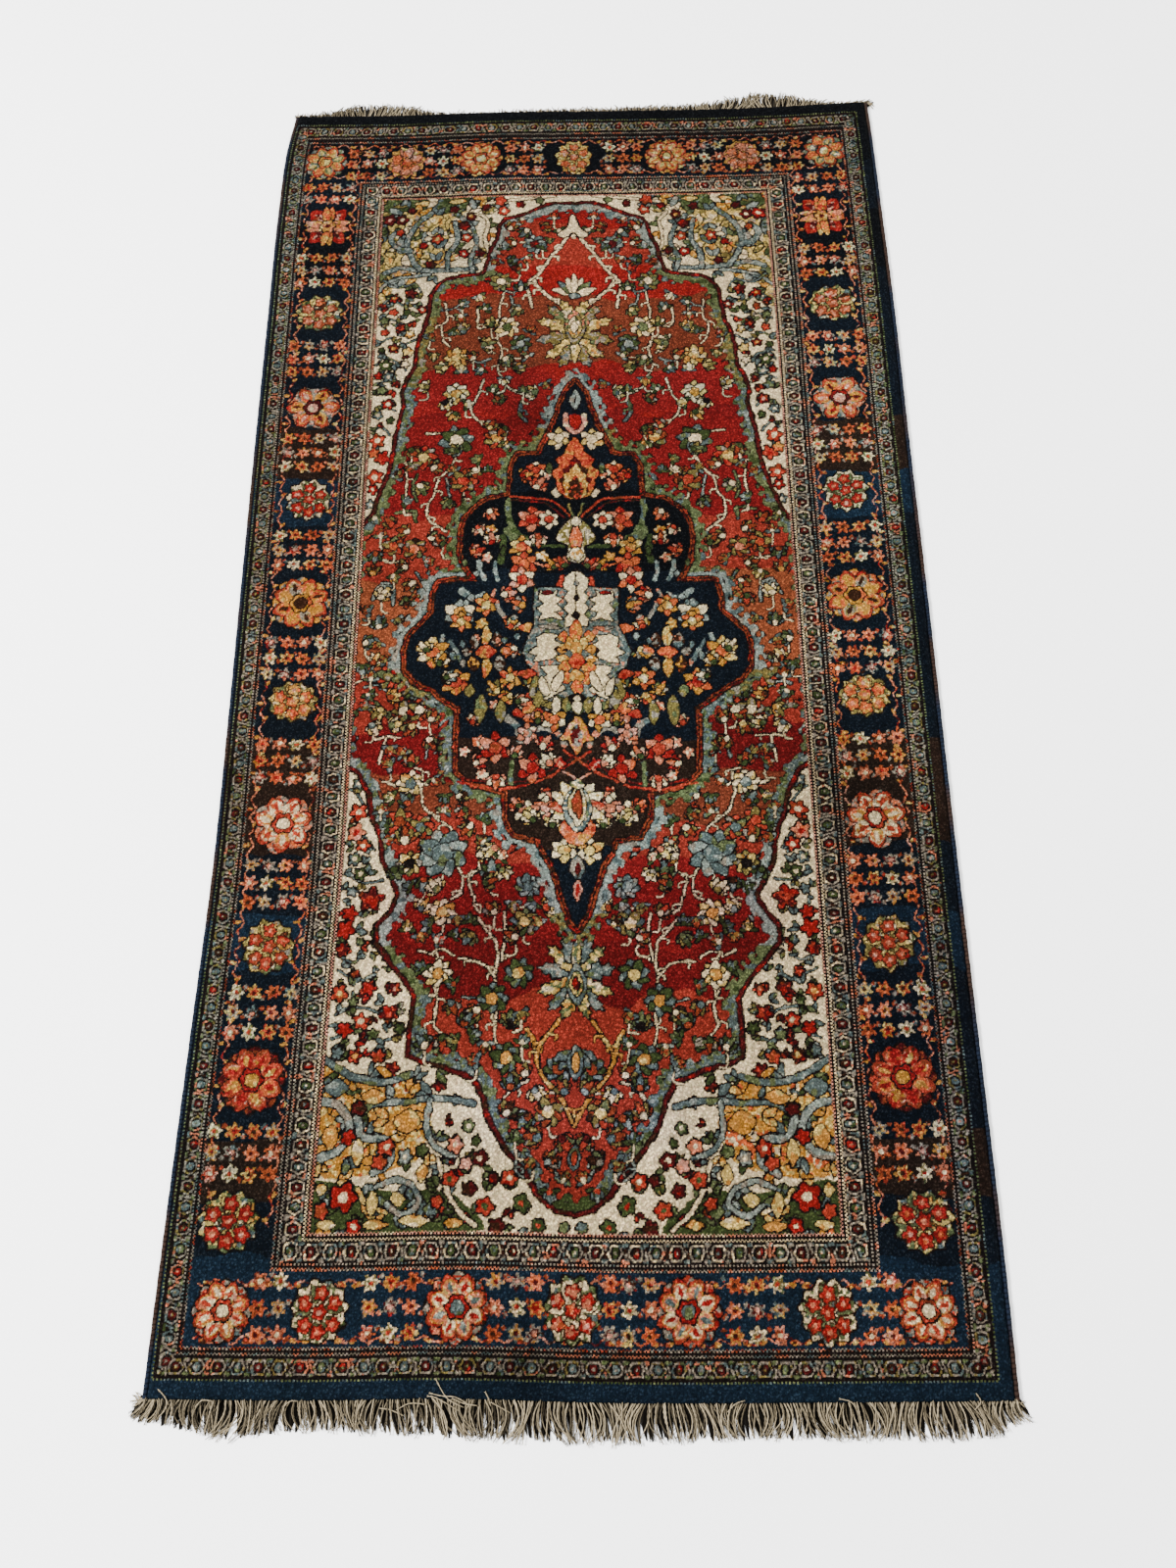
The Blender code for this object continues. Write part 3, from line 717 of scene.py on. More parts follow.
def leafy_palmette(y, scale, pale, leaf_yarn, bud_yarn):
    """A palmette on the middle line, with leaves fanned out to both sides; scale below zero turns it over."""
    size = abs(scale)
    for rise, length, width, angle, yarn in [
        (-6, 46, 16, 100, leaf_yarn), (4, 46, 16, 74, pale), (10, 42, 14, 50, leaf_yarn),
        (-14, 42, 15, 126, pale), (14, 36, 12, 26, pale), (-20, 36, 14, 150, leaf_yarn),
    ]:
        lean = angle if scale > 0 else 180 - angle
        ragged_leaf(MIDDLE, y + rise * scale, length * size, 1.35 * width * size, lean, yarn)
    for rise, wide, high, yarn in [
        (-26, 10, 40, pale), (6, 24, 50, leaf_yarn), (6, 15, 32, pale), (6, 7, 16, bud_yarn),
    ]:
        spot(MIDDLE, y + rise * scale, wide * size, high * size, yarn)


# Middle line of the red field, in front of the medallion and behind it
leafy_palmette(1384, 1.22, ("yellow", "olive"), ("olive", "grey"), "cream")
leafy_palmette(440, -1.0, ("yellow", "sage"), ("slate", "sky"), "maroon")
fill_shape([(449, 1604), (440, 1580), (426, 1566), (436, 1560), (449, 1570), (462, 1560), (472, 1566),
            (458, 1580)], "cream", mirrored=False)
for angle in (-70, -44, -20, 20, 44, 70):
    petal(MIDDLE, 1450, 34, 11, angle, "cream" if abs(angle) in (20, 70) else "sage", mirrored=False)
spot(MIDDLE, 1470, 10, 38, "cream")
spot(MIDDLE, 1448, 18, 10, "slate")
for angle in (110, 136, 224, 250):
    petal(MIDDLE, 356, 26, 10, angle, "slate", mirrored=False)
spot(MIDDLE, 344, 18, 40, "slate")
spot(MIDDLE, 344, 9, 24, "gold")
spot(MIDDLE, 240, 14, 26, "slate")
spot(MIDDLE, 240, 7, 14, "brick")

# Medallion: a navy ground in stepped tiers, with a brick line round it and a toothed band outside the line
toothed_ground(MEDALLION_EDGE, "navy", TIER_YARNS, ("rust", "maroon"), 6.6, 6.0, outward=True)
for points, yarn, width in [
    ([(362, 1102), (396, 1101), (414, 1098), (428, 1088), (440, 1074), (449, 1062)], "brick", 3.0),
    ([(362, 1097), (394, 1096), (410, 1092), (422, 1082), (434, 1070)], "maroon", 2.4),
    ([(300, 686), (340, 678), (376, 680), (404, 690), (428, 702), (449, 718), (466, 728)], "brick", 3.0),
    ([(306, 692), (340, 684), (374, 686), (400, 696), (424, 708), (446, 722)], "maroon", 2.4),
    ([(358, 1096), (358, 1072), (364, 1046)], "sage", 7.0),
    ([(388, 1030), (404, 1026), (432, 1025)], "moss", 5.0),
    ([(362, 1050), (368, 1040), (378, 1034)], "sage", 18.0),
    ([(350, 1040), (352, 1018), (350, 1002)], "moss", 9.0),
    ([(343, 1000), (342, 986), (345, 974)], "sky", 5.0), ([(320, 1002), (322, 986), (328, 974)], "sky", 6.0),
    ([(298, 958), (308, 950), (318, 946), (328, 950)], "sky", 9.0), ([(334, 938), (326, 946)], "grey", 5.0),
    ([(345, 934), (338, 944), (342, 958)], "grey", 4.0), ([(344, 940), (350, 924), (358, 912)], "grey", 5.0),
    ([(386, 1000), (402, 996), (412, 990)], "salmon", 2.0),
    ([(350, 866), (362, 866), (372, 868)], "cream", 3.0), ([(276, 892), (272, 876), (280, 866)], "sky", 5.0),
    ([(284, 884), (292, 868), (300, 852)], "slate", 5.0), ([(360, 772), (372, 762), (378, 742)], "grey", 9.0),
    ([(396, 756), (410, 760), (426, 752), (434, 736)], "grey", 7.0),
    ([(367, 712), (366, 696), (366, 684)], "sage", 6.0),
    ([(440, 1092), (444, 1078), (449, 1070)], "olive", 3.0),
    ([(432, 700), (442, 694), (449, 688)], "pink", 2.0), ([(356, 836), (350, 826), (342, 820)], "grey", 2.4),
]:
    draw_stem(points, yarn, width=width)

# Medallion flowers: place, radius, petal yarn and heart yarn
for x, y, radius, yarn, heart in [
    (426, 1198, 13, ("yellow", "cream"), None), (396, 1147, 11, ("cream", "orange"), "brick"),
    (377, 1137, 9, ("orange", "brick"), "crimson"), (397, 1119, 10, ("salmon", "brick"), "cream"),
    (412, 1138, 5, "salmon", None), (333, 1080, 9, ("salmon", "orange"), "cream"),
    (317, 1056, 8, ("cream", "salmon"), "brick"), (336, 1050, 7, "mustard", "orange"),
    (390, 1068, 15, ("brick", "salmon"), "brick"), (413, 1067, 11, "cream", "brick"),
    (400, 1041, 10, ("salmon", "cream"), "brick"), (376, 1024, 13, ("mustard", "yellow"), "orange"),
    (312, 1018, 9, ("brick", "salmon"), "orange"), (336, 1032, 9, ("salmon", "cream"), "crimson"),
    (404, 1010, 7, "mustard", None), (330, 1008, 6, "salmon", None),
    (380, 997, 15, ("brick", "orange"), "orange"), (377, 974, 14, ("salmon", "cream"), "brick"),
    (420, 994, 9, ("mustard", "orange"), None), (434, 996, 9, ("brick", "salmon"), None),
    (355, 951, 10, ("salmon", "brick"), "cream"), (379, 936, 10, ("orange", "grey"), "mustard"),
    (330, 936, 12, ("mustard", "orange"), "yellow"), (296, 924, 16, ("sky", "cream"), "mustard"),
    (298, 912, 11, ("mustard", "orange"), "yellow"), (325, 908, 7, ("mustard", "yellow"), None),
    (363, 905, 9, ("mustard", "yellow"), "orange"), (262, 868, 17, ("yellow", "mustard"), "orange"),
    (254, 872, 9, ("cream", "yellow"), None), (272, 852, 9, ("mustard", "cream"), None),
    (368, 871, 9, ("mustard", "grey"), "yellow"), (294, 824, 15, ("orange", "mustard"), "brick"),
    (282, 832, 8, ("cream", "sky"), None), (363, 830, 12, ("mustard", "orange"), "yellow"),
    (346, 812, 9, ("mustard", "olive"), "yellow"), (390, 818, 8, ("mustard", "sage"), "cream"),
    (362, 805, 9, ("mustard", "orange"), "yellow"), (388, 788, 17, ("brick", "salmon"), "orange"),
    (374, 796, 8, ("cream", "salmon"), None), (344, 791, 6, "salmon", None),
    (400, 768, 8, ("mustard", "salmon"), None), (421, 771, 12, ("cream", "mustard"), "orange"),
    (316, 768, 8, ("salmon", "cream"), "brick"), (326, 740, 7, "salmon", None),
    (386, 752, 11, ("salmon", "pink"), "grey"), (406, 734, 10, ("salmon", "crimson"), "cream"),
    (346, 732, 16, ("crimson", "salmon"), "brick"), (370, 722, 9, ("salmon", "pink"), None),
    (393, 705, 15, ("crimson", "salmon"), "crimson"), (414, 712, 9, "cream", "salmon"),
    (427, 712, 7, ("crimson", "salmon"), None), (348, 693, 10, ("salmon", "cream"), "brick"),
    (322, 712, 9, ("salmon", "crimson"), "cream"), (330, 696, 6, "salmon", None),
    (308, 726, 6, "salmon", None), (406, 668, 9, ("salmon", "brick"), "cream"),
    (410, 652, 12, ("cream", "salmon"), None), (388, 646, 13, ("cream", "salmon"), "yellow"),
    (376, 654, 8, ("salmon", "orange"), None), (418, 630, 8, ("cream", "yellow"), None),
    (394, 636, 9, ("yellow", "cream"), None), (434, 598, 13, ("cream", "yellow"), None),
]:
    yarns = yarn if isinstance(yarn, tuple) else (yarn, "cream")
    if radius >= 11:
        many_petalled(x, y, 1.32 * radius, yarns, heart, petals=6)
    elif radius >= 8:
        fan_flower(x, y, 1.5 * radius, FLOWER_TURNS[int(x + y) % len(FLOWER_TURNS)], yarns, heart)
    else:
        blossom(x, y, 1.25 * radius, yarns, heart=heart, petals=5, depth=0.4)
for x, y, wide, high, yarn in [
    (414, 1150, 8, 18, "sage"), (317, 884, 14, 22, ("grey", "brown")), (347, 885, 14, 22, ("brown", "grey")),
    (315, 850, 15, 22, ("brown", "mustard")), (349, 850, 15, 22, ("grey", "brown")),
    (307, 868, 14, 12, ("grey", "brown")), (357, 868, 14, 12, ("mustard", "grey")),
    (332, 890, 13, 30, ("yellow", "mustard")), (332, 846, 13, 32, ("mustard", "yellow")),
    (332, 867, 26, 18, ("orange", "brick")), (386, 902, 26, 13, "orange"), (300, 878, 6, 12, "slate"),
    (288, 862, 7, 12, "slate"), (302, 852, 6, 12, "grey"), (310, 948, 10, 8, "sky"), (367, 918, 9, 8, "grey"),
    (372, 890, 8, 9, "slate"), (380, 866, 10, 6, "sage"), (356, 884, 6, 9, "slate"),
    (300, 1000, 6, 10, "sage"), (316, 984, 7, 9, "sky"), (304, 940, 7, 8, "sky"), (352, 1018, 7, 14, "moss"),
    (388, 836, 28, 13, "brick"), (326, 786, 15, 40, "olive"), (352, 782, 13, 32, "olive"),
    (312, 812, 12, 18, "olive"), (431, 964, 14, 34, "brick"), (424, 1111, 14, 16, "cream"),
    (412, 790, 6, 12, "grey"),
]:
    spot(x, y, wide, high, yarn)

# Middle line of the medallion, from its back tip to its front tip
spot(MIDDLE, 1264, 15, 34, "sky")
spot(MIDDLE, 1264, 3, 18, "ink", edge=None)
draw_stem([(437, 1238), (437, 1220), (449.5, 1208), (462, 1220), (462, 1238)], "pink", width=6,
          mirrored=False)
fill_shape([(442, 1238), (457, 1238), (456, 1220), (449.5, 1213), (443, 1220)], "crimson", edge=None,
           mirrored=False)
FLAME = [(0, 98), (10, 84), (15, 72), (26, 64), (22, 52), (31, 42), (26, 30), (24, 14), (14, 4), (0, 0)]
for shrink, yarn in ((1.0, ("orange", "brick")), (0.72, "maroon"), (0.58, ("gold", "yellow")),
                     (0.38, ("brown", "brick"))):
    half = [(MIDDLE - x * shrink, 1101 + y * shrink) for x, y in FLAME]
    fill_shape(whole_outline(half), yarn, edge="ink" if shrink == 1.0 else None, mirrored=False)
fill_shape([(424, 1040), (449.5, 1072), (475, 1040), (460, 1026), (462, 1008), (449.5, 1000), (437, 1008),
            (439, 1026)], ("olive", "cream"), mirrored=False)
spot(MIDDLE, 1036, 17, 48, ("orange", "salmon"))
spot(MIDDLE, 1014, 20, 22, ("cream", "gold"))
spot(MIDDLE, 1064, 12, 14, "cream")

# Square in the middle: cream with a grey outline, a gold flower on it and green corners towards the front
SQUARE = [(449.5, 990), (439, 978), (437, 962), (394, 961), (395, 906), (388, 892), (380, 868), (386, 848),
          (399, 838), (398, 812), (408, 796), (426, 790), (449.5, 779)]
square = whole_outline(SQUARE)
fill_shape(square, ("slate", "grey"), mirrored=False, smooth=False)
for points in [
    [(401, 957), (412, 952), (424, 957), (421, 948), (430, 946), (423, 938), (430, 930), (420, 926),
     (430, 914), (416, 918), (401, 911), (407, 922), (399, 930), (408, 938), (400, 946)],
    [(434, 962), (434, 976), (441, 982), (449.5, 988), (449.5, 906), (434, 906), (434, 916), (440, 924),
     (433, 932), (439, 940), (433, 948), (440, 956)],
    [(396, 888), (406, 894), (424, 892), (420, 884), (428, 878), (418, 872), (424, 864), (412, 856),
     (394, 852), (400, 862), (388, 866), (398, 876)],
    [(404, 846), (424, 848), (432, 838), (424, 826), (434, 814), (420, 806), (408, 800), (414, 814),
     (402, 822), (412, 834)],
]:
    fill_shape(points, ("ivory", "cream"), edge="ink", edge_width=2.0, smooth=False)
draw_stem([(398, 826), (392, 810), (402, 798), (418, 792), (432, 798), (449.5, 784)], "olive", width=8,
          edge="ink")
for x, y, wide, high, yarn in [
    (411, 954, 16, 5, "maroon"), (414, 903, 30, 5, "grey"), (432, 890, 13, 17, ("orange", "gold")),
    (430, 872, 15, 12, ("gold", "brown")), (431, 858, 17, 12, ("gold", "yellow")),
    (434, 845, 17, 18, ("gold", "orange")), (436, 830, 14, 17, ("orange", "gold")),
    (440, 880, 13, 18, ("gold", "yellow")), (401, 800, 12, 26, "olive"), (436, 792, 13, 22, "olive"),
    (416, 792, 14, 9, "olive"), (426, 800, 7, 10, "sage"),
]:
    spot(x, y, wide, high, yarn, edge_width=1.4)
for x, y, wide, high, yarn in [
    (MIDDLE, 898, 18, 34, ("orange", "gold")), (MIDDLE, 872, 14, 28, ("gold", "yellow")),
    (MIDDLE, 854, 20, 26, ("orange", "brick")), (MIDDLE, 832, 20, 20, ("gold", "yellow")),
    (MIDDLE, 817, 16, 20, ("orange", "gold")), (MIDDLE, 802, 22, 14, "ink"), (MIDDLE, 946, 7, 10, "ink"),
    (MIDDLE, 921, 10, 12, "ink"), (MIDDLE, 968, 6, 8, "grey"), (MIDDLE, 790, 12, 16, "cream"),
    (MIDDLE, 802, 8, 8, "cream"),
]:
    spot(x, y, wide, high, yarn, edge_width=1.2)
petal(420, 812, 30, 11, 20, "cream")
petal(412, 806, 26, 10, -20, "cream")
spot(423, 792, 10, 24, "cream")

# Front half of the middle line: a gold arrow, crossing lines, a cream palmette and the tip's buds
fill_shape([(449.5, 778), (434, 752), (428, 744), (440, 742), (449.5, 724), (459, 742), (471, 744),
            (465, 752)], ("gold", "salmon"), mirrored=False)
fill_shape([(449.5, 766), (441, 748), (449.5, 734), (458, 748)], ("maroon", "grey"), edge=None,
           mirrored=False)
spot(MIDDLE, 703, 12, 14, "navy")
for angle in (-118, -92, -64, -36, 36, 64, 92, 118):
    yarn = ("cream", "yellow") if abs(angle) != 92 else ("salmon", "brick")
    petal(MIDDLE, 656, 36, 15, angle, yarn, mirrored=False)
spot(MIDDLE, 626, 44, 46, ("orange", "salmon"))
spot(MIDDLE, 652, 36, 62, ("slate", "cream"))
spot(MIDDLE, 656, 22, 56, ("yellow", "cream"))
spot(MIDDLE, 658, 12, 40, "rust")
spot(MIDDLE, 684, 18, 12, ("yellow", "sage"))
spot(MIDDLE, 576, 18, 30, "grey")
spot(MIDDLE, 574, 8, 20, "maroon", edge=None)
spot(MIDDLE, 548, 10, 28, "pink")
spot(MIDDLE, 548, 6, 20, "crimson", edge=None)


# Borders: a navy main border with rosettes, palmettes and rows of small flowers, knotted between two narrow
# guard stripes. Each stripe is worked as a frame round the field, with its repeats counted along each side.
GUARD_REPEAT = 22.0
GUARDS = [
    dict(left=14, right=885, front=19, back=1790, wide=17,
         pale=("grey", "olive"), hearts=("maroon", "slate"), curls=("sage", "grey")),
    dict(left=133, right=766, front=131, back=1669, wide=21,
         pale=("grey", "cream"), hearts=("maroon", "moss"), curls=("grey", "slate")),
]
# Frame lines from the outside in: places on the left, right, front and back, their width and yarn
FRAME_LINES = [
    (9.0, 889.5, 14.5, 1795, 2.0, "sage"), (11.0, 887.5, 17.5, 1792, 2.0, "ink"),
    (31.0, 867.5, 40.0, 1768, 2.0, "grey"), (33.5, 865.5, 42.5, 1765, 2.0, "ink"),
    (36.0, 862.5, 45.5, 1759, 2.2, ("grey", "rust")), (124.0, 775.0, 123.0, 1677, 2.2, ("grey", "salmon")),
    (127.0, 772.0, 126.0, 1674, 2.0, "ink"), (129.5, 769.5, 129.0, 1671, 2.0, "grey"),
    (155.5, 744.0, 153.5, 1648, 2.0, "cream"), (158.0, 741.5, 156.5, 1645, 2.0, "ink"),
    (160.5, 739.0, 159.0, 1642, 2.2, "pink"),
]


def frame_distance(left, right, front, back):
    """How far each knot lies inside a frame: its smallest distance to the four sides."""
    return np.minimum.reduce([knot_x - left, right - knot_x, knot_y - front, back - knot_y])


border_ground = ~in_field
tie(whole_plan, border_ground, "navy")


# Main border flowers: outer petals, inner petals and heart of each sort of small blossom
SMALL_BLOSSOMS = [
    ("salmon", "orange", "maroon"), ("grey", "gold", "maroon"), ("gold", "brick", "maroon"),
    ("salmon", "rust", "cream"), ("grey", "maroon", "pink"), ("orange", "rust", "brown"),
    ("cream", "olive", "brick"),
]
TEETH_OF_HEAD = 22


def flower_rows(x, y, across, along):
    """Rows of small blossoms between two large motifs, gold, tan and grey, with buds between them."""
    for i, dx in enumerate(across):
        for j, dy in enumerate(along):
            outer, inner, heart = SMALL_BLOSSOMS[(3 * i + 5 * j + int(x + y)) % len(SMALL_BLOSSOMS)]
            for radius, yarn, petals, depth in [
                (9.8, (outer, inner), 6, 0.44), (6.2, (inner, outer), 6, 0.4), (2.6, heart, 4, 0.0),
            ]:
                blossom(x + dx, y + dy, radius, yarn, petals=petals, depth=depth, turn=0.5 * i, edge=None)
            blossom(x + dx + 11, y + dy + 6 * (-1) ** (i + j), 3.2, ("rust", "grey"), petals=4, edge=None)


def rosette(x, y, radius, petal_yarns, heart_yarns, petals=8, line="gold"):
    """A large round flower: a scalloped rim, pointed petals with coloured streaks, and a ringed heart."""
    rim, *ring = petal_yarns
    blossom(x, y, radius, rim, petals=petals, depth=0.16)
    for number in range(petals):
        angle = 360 * (number + 0.5) / petals
        sine, cosine = math.sin(math.radians(angle)), math.cos(math.radians(angle))
        for foot, length, width, yarn, edge, edge_width in [
            (0.42, 0.56, 0.5, ("brick", "rust"), "ink", 1.3),
            (0.30, 0.52, 0.4, ring[number % len(ring)], (line, "salmon"), 1.4),
            (0.42, 0.36, 0.16, heart_yarns[number % 2], None, 1.8),
        ]:
            petal(x + foot * radius * sine, y + foot * radius * cosine, length * radius, width * radius,
                  angle, yarn, edge=edge, edge_width=edge_width)
    blossom(x, y, 0.36 * radius, heart_yarns[0], petals=6, depth=0.2)
    blossom(x, y, 0.2 * radius, heart_yarns[1], petals=4, depth=0.0, edge_width=1.4)


def border_palmette(x, y, wide, high, leaf_yarns, flower_yarns, mirrored=True):
    """A ragged leafy flower head with a bunch of small red flowers on it."""
    points = []
    for number in range(TEETH_OF_HEAD):
        angle = 2 * math.pi * number / TEETH_OF_HEAD
        reach = 1.0 if number % 2 else 0.84
        points.append((x + 0.5 * wide * reach * math.sin(angle), y + 0.5 * high * reach * math.cos(angle)))
    fill_shape(points, leaf_yarns, smooth=False, mirrored=mirrored)
    for angle in range(15, 360, 36):
        reach = 0.3 * (wide if 45 < angle % 180 < 135 else high)
        sine, cosine = math.sin(math.radians(angle)), math.cos(math.radians(angle))
        petal(x + 0.5 * reach * sine, y + 0.5 * reach * cosine, 0.9 * reach, 0.32 * reach, angle,
              leaf_yarns[1], edge="brown", edge_width=1.5, mirrored=mirrored)
    for dx, dy in [(0, 0.28), (-0.26, 0.12), (0.26, 0.12), (-0.24, -0.2), (0.24, -0.2), (0, 0.0), (0, -0.3)]:
        blossom(x + dx * wide, y + dy * high, 0.13 * wide, flower_yarns, petals=5, depth=0.3, edge="brown",
                edge_width=1.5, heart="salmon", mirrored=mirrored)


def crossed_palmette(x, y, size):
    """Four large pointed petals laid crosswise, with narrow pale ones between them."""
    for angle in (38, 142, 218, 322):
        petal(x, y, size, 0.62 * size, angle, ("crimson", "brick"), edge_width=1.6)
        petal(x, y, 0.8 * size, 0.26 * size, angle, ("maroon", "pink"), edge=None)
    for angle in (8, -8, 172, 188):
        petal(x, y, 0.94 * size, 0.3 * size, angle, ("orange", "gold"), edge_width=1.6)
    for angle in (78, 102, 258, 282):
        petal(x, y, 0.86 * size, 0.3 * size, angle, ("salmon", "gold"), edge_width=1.6)
    blossom(x, y, 0.3 * size, ("gold", "salmon"), petals=6, depth=0.3, heart="maroon")


# Thin vines run along both edges of the border under the flowers, with a leaf at each bend
VINE_REPEAT = 24.0
VINE = dict(yarn=("salmon", "maroon"), width=1.6)
VINE_LEAF = dict(length=9, width=4.5, yarn=("gold", "rust"), edge=None)
for number in range(7, 73):
    y = VINE_REPEAT * number
    for x, bend in ((117, 3), (46, -3)):
        draw_stem([(x, y), (x - bend, y + 6), (x, y + 12), (x + bend, y + 18), (x, y + VINE_REPEAT)], **VINE)
        petal(x, y + 6, angle=70 * (-1) ** number - 20, **VINE_LEAF)
for number in range(2, 19):
    x = VINE_REPEAT * number
    for y, bend in ((110, 3), (54, -3), (1750, 3), (1687, -3)):
        draw_stem([(x, y), (x + 6, y - bend), (x + 12, y), (x + 18, y + bend), (x + VINE_REPEAT, y)], **VINE)
        petal(x + 6, y, angle=110 * (-1) ** number, **VINE_LEAF)

# Sides of the main border, from the back corner to the front one: large motifs, and rows of blossoms between
crossed_palmette(80, 1590, 40)
border_palmette(78, 1425, 70, 66, ("sage", "yellow"), ("rust", "salmon"))
rosette(80, 1258, 38, (("grey", "salmon"), ("mustard", "orange"), ("orange", "brick")), ("maroon", "pink"),
        petals=6)
border_palmette(84, 1105, 62, 66, ("cream", "sage"), ("crimson", "brick"))
rosette(84, 944, 39, (("mustard", "grey"), ("mustard", "orange"), ("orange", "mustard"), ("mustard", "gold"),
                      ("grey", "olive")), ("mustard", "brown"))
border_palmette(84, 800, 66, 58, ("olive", "yellow"), ("orange", "gold"))
rosette(84, 635, 38, (("grey", "salmon"), ("cream", "orange"), ("gold", "orange")), ("brick", "cream"),
        petals=7, line="cream")
border_palmette(82, 480, 64, 68, ("olive", "yellow"), ("brick", "rust"))
rosette(80, 325, 38, (("maroon", "rust"), ("brick", "mustard"), ("crimson", "brick"), ("orange", "mustard")),
        ("crimson", "gold"), line="brick")
border_palmette(72, 172, 68, 66, ("sage", "yellow"), ("crimson", "brick"))
for y in (1505, 1343, 1182, 1025, 862, 718, 558, 402, 245):
    flower_rows(80 if y > 1200 or y < 300 else 84, y, (-35, -13, 9, 31), (-23, 0, 23))
flower_rows(78, 1655, (-33, -12, 10, 32), (-12, 12))

# Back end of the main border, then its front end, from the corner to the middle line
rosette(66, 1718, 33, (("grey", "sage"), ("orange", "gold"), ("sage", "grey")), ("orange", "yellow"))
rosette(307, 1718, 33, (("gold", "orange"), ("gold", "yellow"), ("orange", "salmon")), ("orange", "yellow"))
border_palmette(192, 1716, 60, 66, ("gold", "salmon"), ("salmon", "orange"))
border_palmette(MIDDLE, 1718, 56, 68, ("gold", "yellow"), ("orange", "salmon"), mirrored=False)
flower_rows(249, 1716, (-21, 0, 21), (-22, 0, 22))
flower_rows(374, 1716, (-21, 0, 21), (-22, 0, 22))
flower_rows(124, 1712, (-16, 8, 30), (-22, 2, 24))

rosette(76, 82, 32, (("grey", "brick"), ("cream", "salmon"), ("orange", "brick")), ("brick", "cream"))
border_palmette(180, 82, 62, 66, ("cream", "sage"), ("crimson", "brick"))
rosette(327, 84, 35, (("grey", "brick"), ("cream", "salmon"), ("salmon", "yellow")), ("crimson", "slate"))
border_palmette(MIDDLE, 84, 62, 70, ("sage", "cream"), ("crimson", "salmon"), mirrored=False)
flower_rows(255, 84, (-23, 0, 23), (-24, 1, 26))
flower_rows(390, 84, (-23, 0, 20), (-24, 1, 26))
flower_rows(126, 84, (-12, 10), (-25, 1, 28))

# Guard stripes and frame lines: chains of pale rings with slants and curls between them, and hearts in two
# colours by turns. A stripe is drawn on a repeat that is 22 mm long and 16 mm across, whatever its own width.
STRIPE_ACROSS = 16
RING_HIGH, RING_LONG = 6.6, 8.6
RING_INSIDE, RING_OUTSIDE = 0.78, 1.15
CURL_REACH, HEART_REACH, MIDDLE_REACH = 1.7, 3.4, 1.3
main_border = frame_distance(37, 862, 46, 1758) > 0
tie(whole_plan, ~main_border, "navy")
beads = (np.floor(knot_x / KNOT) + np.floor(knot_y / KNOT)) % 2 == 0
pattern_frame = frame_distance(10, 889, 15, 1794) > 0
tie(whole_plan, pattern_frame & ~main_border, "ink")
inner_frame = (frame_distance(123, 776, 122, 1678) > 0) & ~in_field
tie(whole_plan, inner_frame, "ink")
for guard in GUARDS:
    depth = frame_distance(guard["left"], guard["right"], guard["front"], guard["back"])
    wide = guard["wide"]
    from_ends = np.minimum(knot_y - guard["front"], guard["back"] - knot_y)
    from_sides = np.minimum(knot_x - guard["left"], guard["right"] - knot_x)
    along = np.where((from_ends < wide) & (from_ends <= from_sides), ragged_x, ragged_y)
    in_stripe = (depth >= 0) & (depth < wide)
    repeat = np.floor(along / GUARD_REPEAT)
    u = along - (repeat + 0.5) * GUARD_REPEAT
    v = (depth - wide / 2) * STRIPE_ACROSS / wide
    ring = np.maximum(np.abs(v) / RING_HIGH, (np.abs(u) + 0.5 * np.abs(v)) / RING_LONG)
    slant = np.abs(np.abs(u) - 0.5 * GUARD_REPEAT + 0.28 * v * np.sign(u)) < 1.0
    curl = np.hypot(np.abs(u) - 0.5 * GUARD_REPEAT + 1.5, np.abs(v) - 6.3) < CURL_REACH
    heart = np.hypot(u, 0.8 * v) < HEART_REACH
    inner = np.hypot(u, v) < MIDDLE_REACH
    pale = guard["pale"]
    tie(whole_plan, in_stripe & (ring < 1.0) & (ring > RING_INSIDE), pale)
    tie(whole_plan, in_stripe & (ring >= RING_OUTSIDE) & slant, (pale[0], "brown"))
    tie(whole_plan, in_stripe & (ring >= RING_OUTSIDE) & curl, guard["curls"])
    odd = repeat % 2 == 1
    first, second = guard["hearts"]
    tie(whole_plan, in_stripe & heart & odd, (first, "brown"))
    tie(whole_plan, in_stripe & heart & ~odd, (second, "slate"))
    tie(whole_plan, in_stripe & inner, pale)
for left, right, front, back, width, yarn in FRAME_LINES:
    depth = frame_distance(left, right, front, back)
    line = (depth > -width / 2) & (depth <= width / 2 + 0.4)
    tie(whole_plan, line if yarn == "ink" else line & beads, yarn)


# Dye lots: the wool was dyed in batches, so the red and the dark blue change in ragged bands across the rug.
# Then small patches are made darker, and broad parts lighter or darker.
DYES = dict(
    ruby=(148, 26, 28), scarlet=(154, 30, 29), madder=(156, 58, 44), russet=(128, 66, 44),
    copper=(152, 86, 54), garnet=(136, 27, 30), wine=(118, 22, 26), midnight=(18, 23, 31), navy=(22, 33, 46),
    indigo=(29, 50, 70), umber=(54, 40, 33),
)
RED_BANDS = [
    (1590, "ruby"), (1505, "madder"), (1440, "scarlet"), (1325, "russet"), (1240, "scarlet"),
    (1075, "garnet"), (985, "madder"), (830, "copper"), (762, "madder"), (700, "wine"), (640, "russet"),
    (590, "madder"), (480, "garnet"), (420, "wine"), (170, "madder"),
]
MEDALLION_BANDS = [(1110, "navy"), (985, "midnight"), (745, "navy"), (600, "umber"), (-10, "navy")]
NAVY_BANDS = [
    (1690, "midnight"), (1600, "navy"), (1480, "midnight"), (1225, "navy"), (1135, "umber"), (1070, "indigo"),
    (745, "navy"), (600, "umber"), (520, "navy"), (450, "indigo"), (262, "navy"), (196, "umber"),
    (134, "navy"), (66, "indigo"), (-10, "indigo"),
]


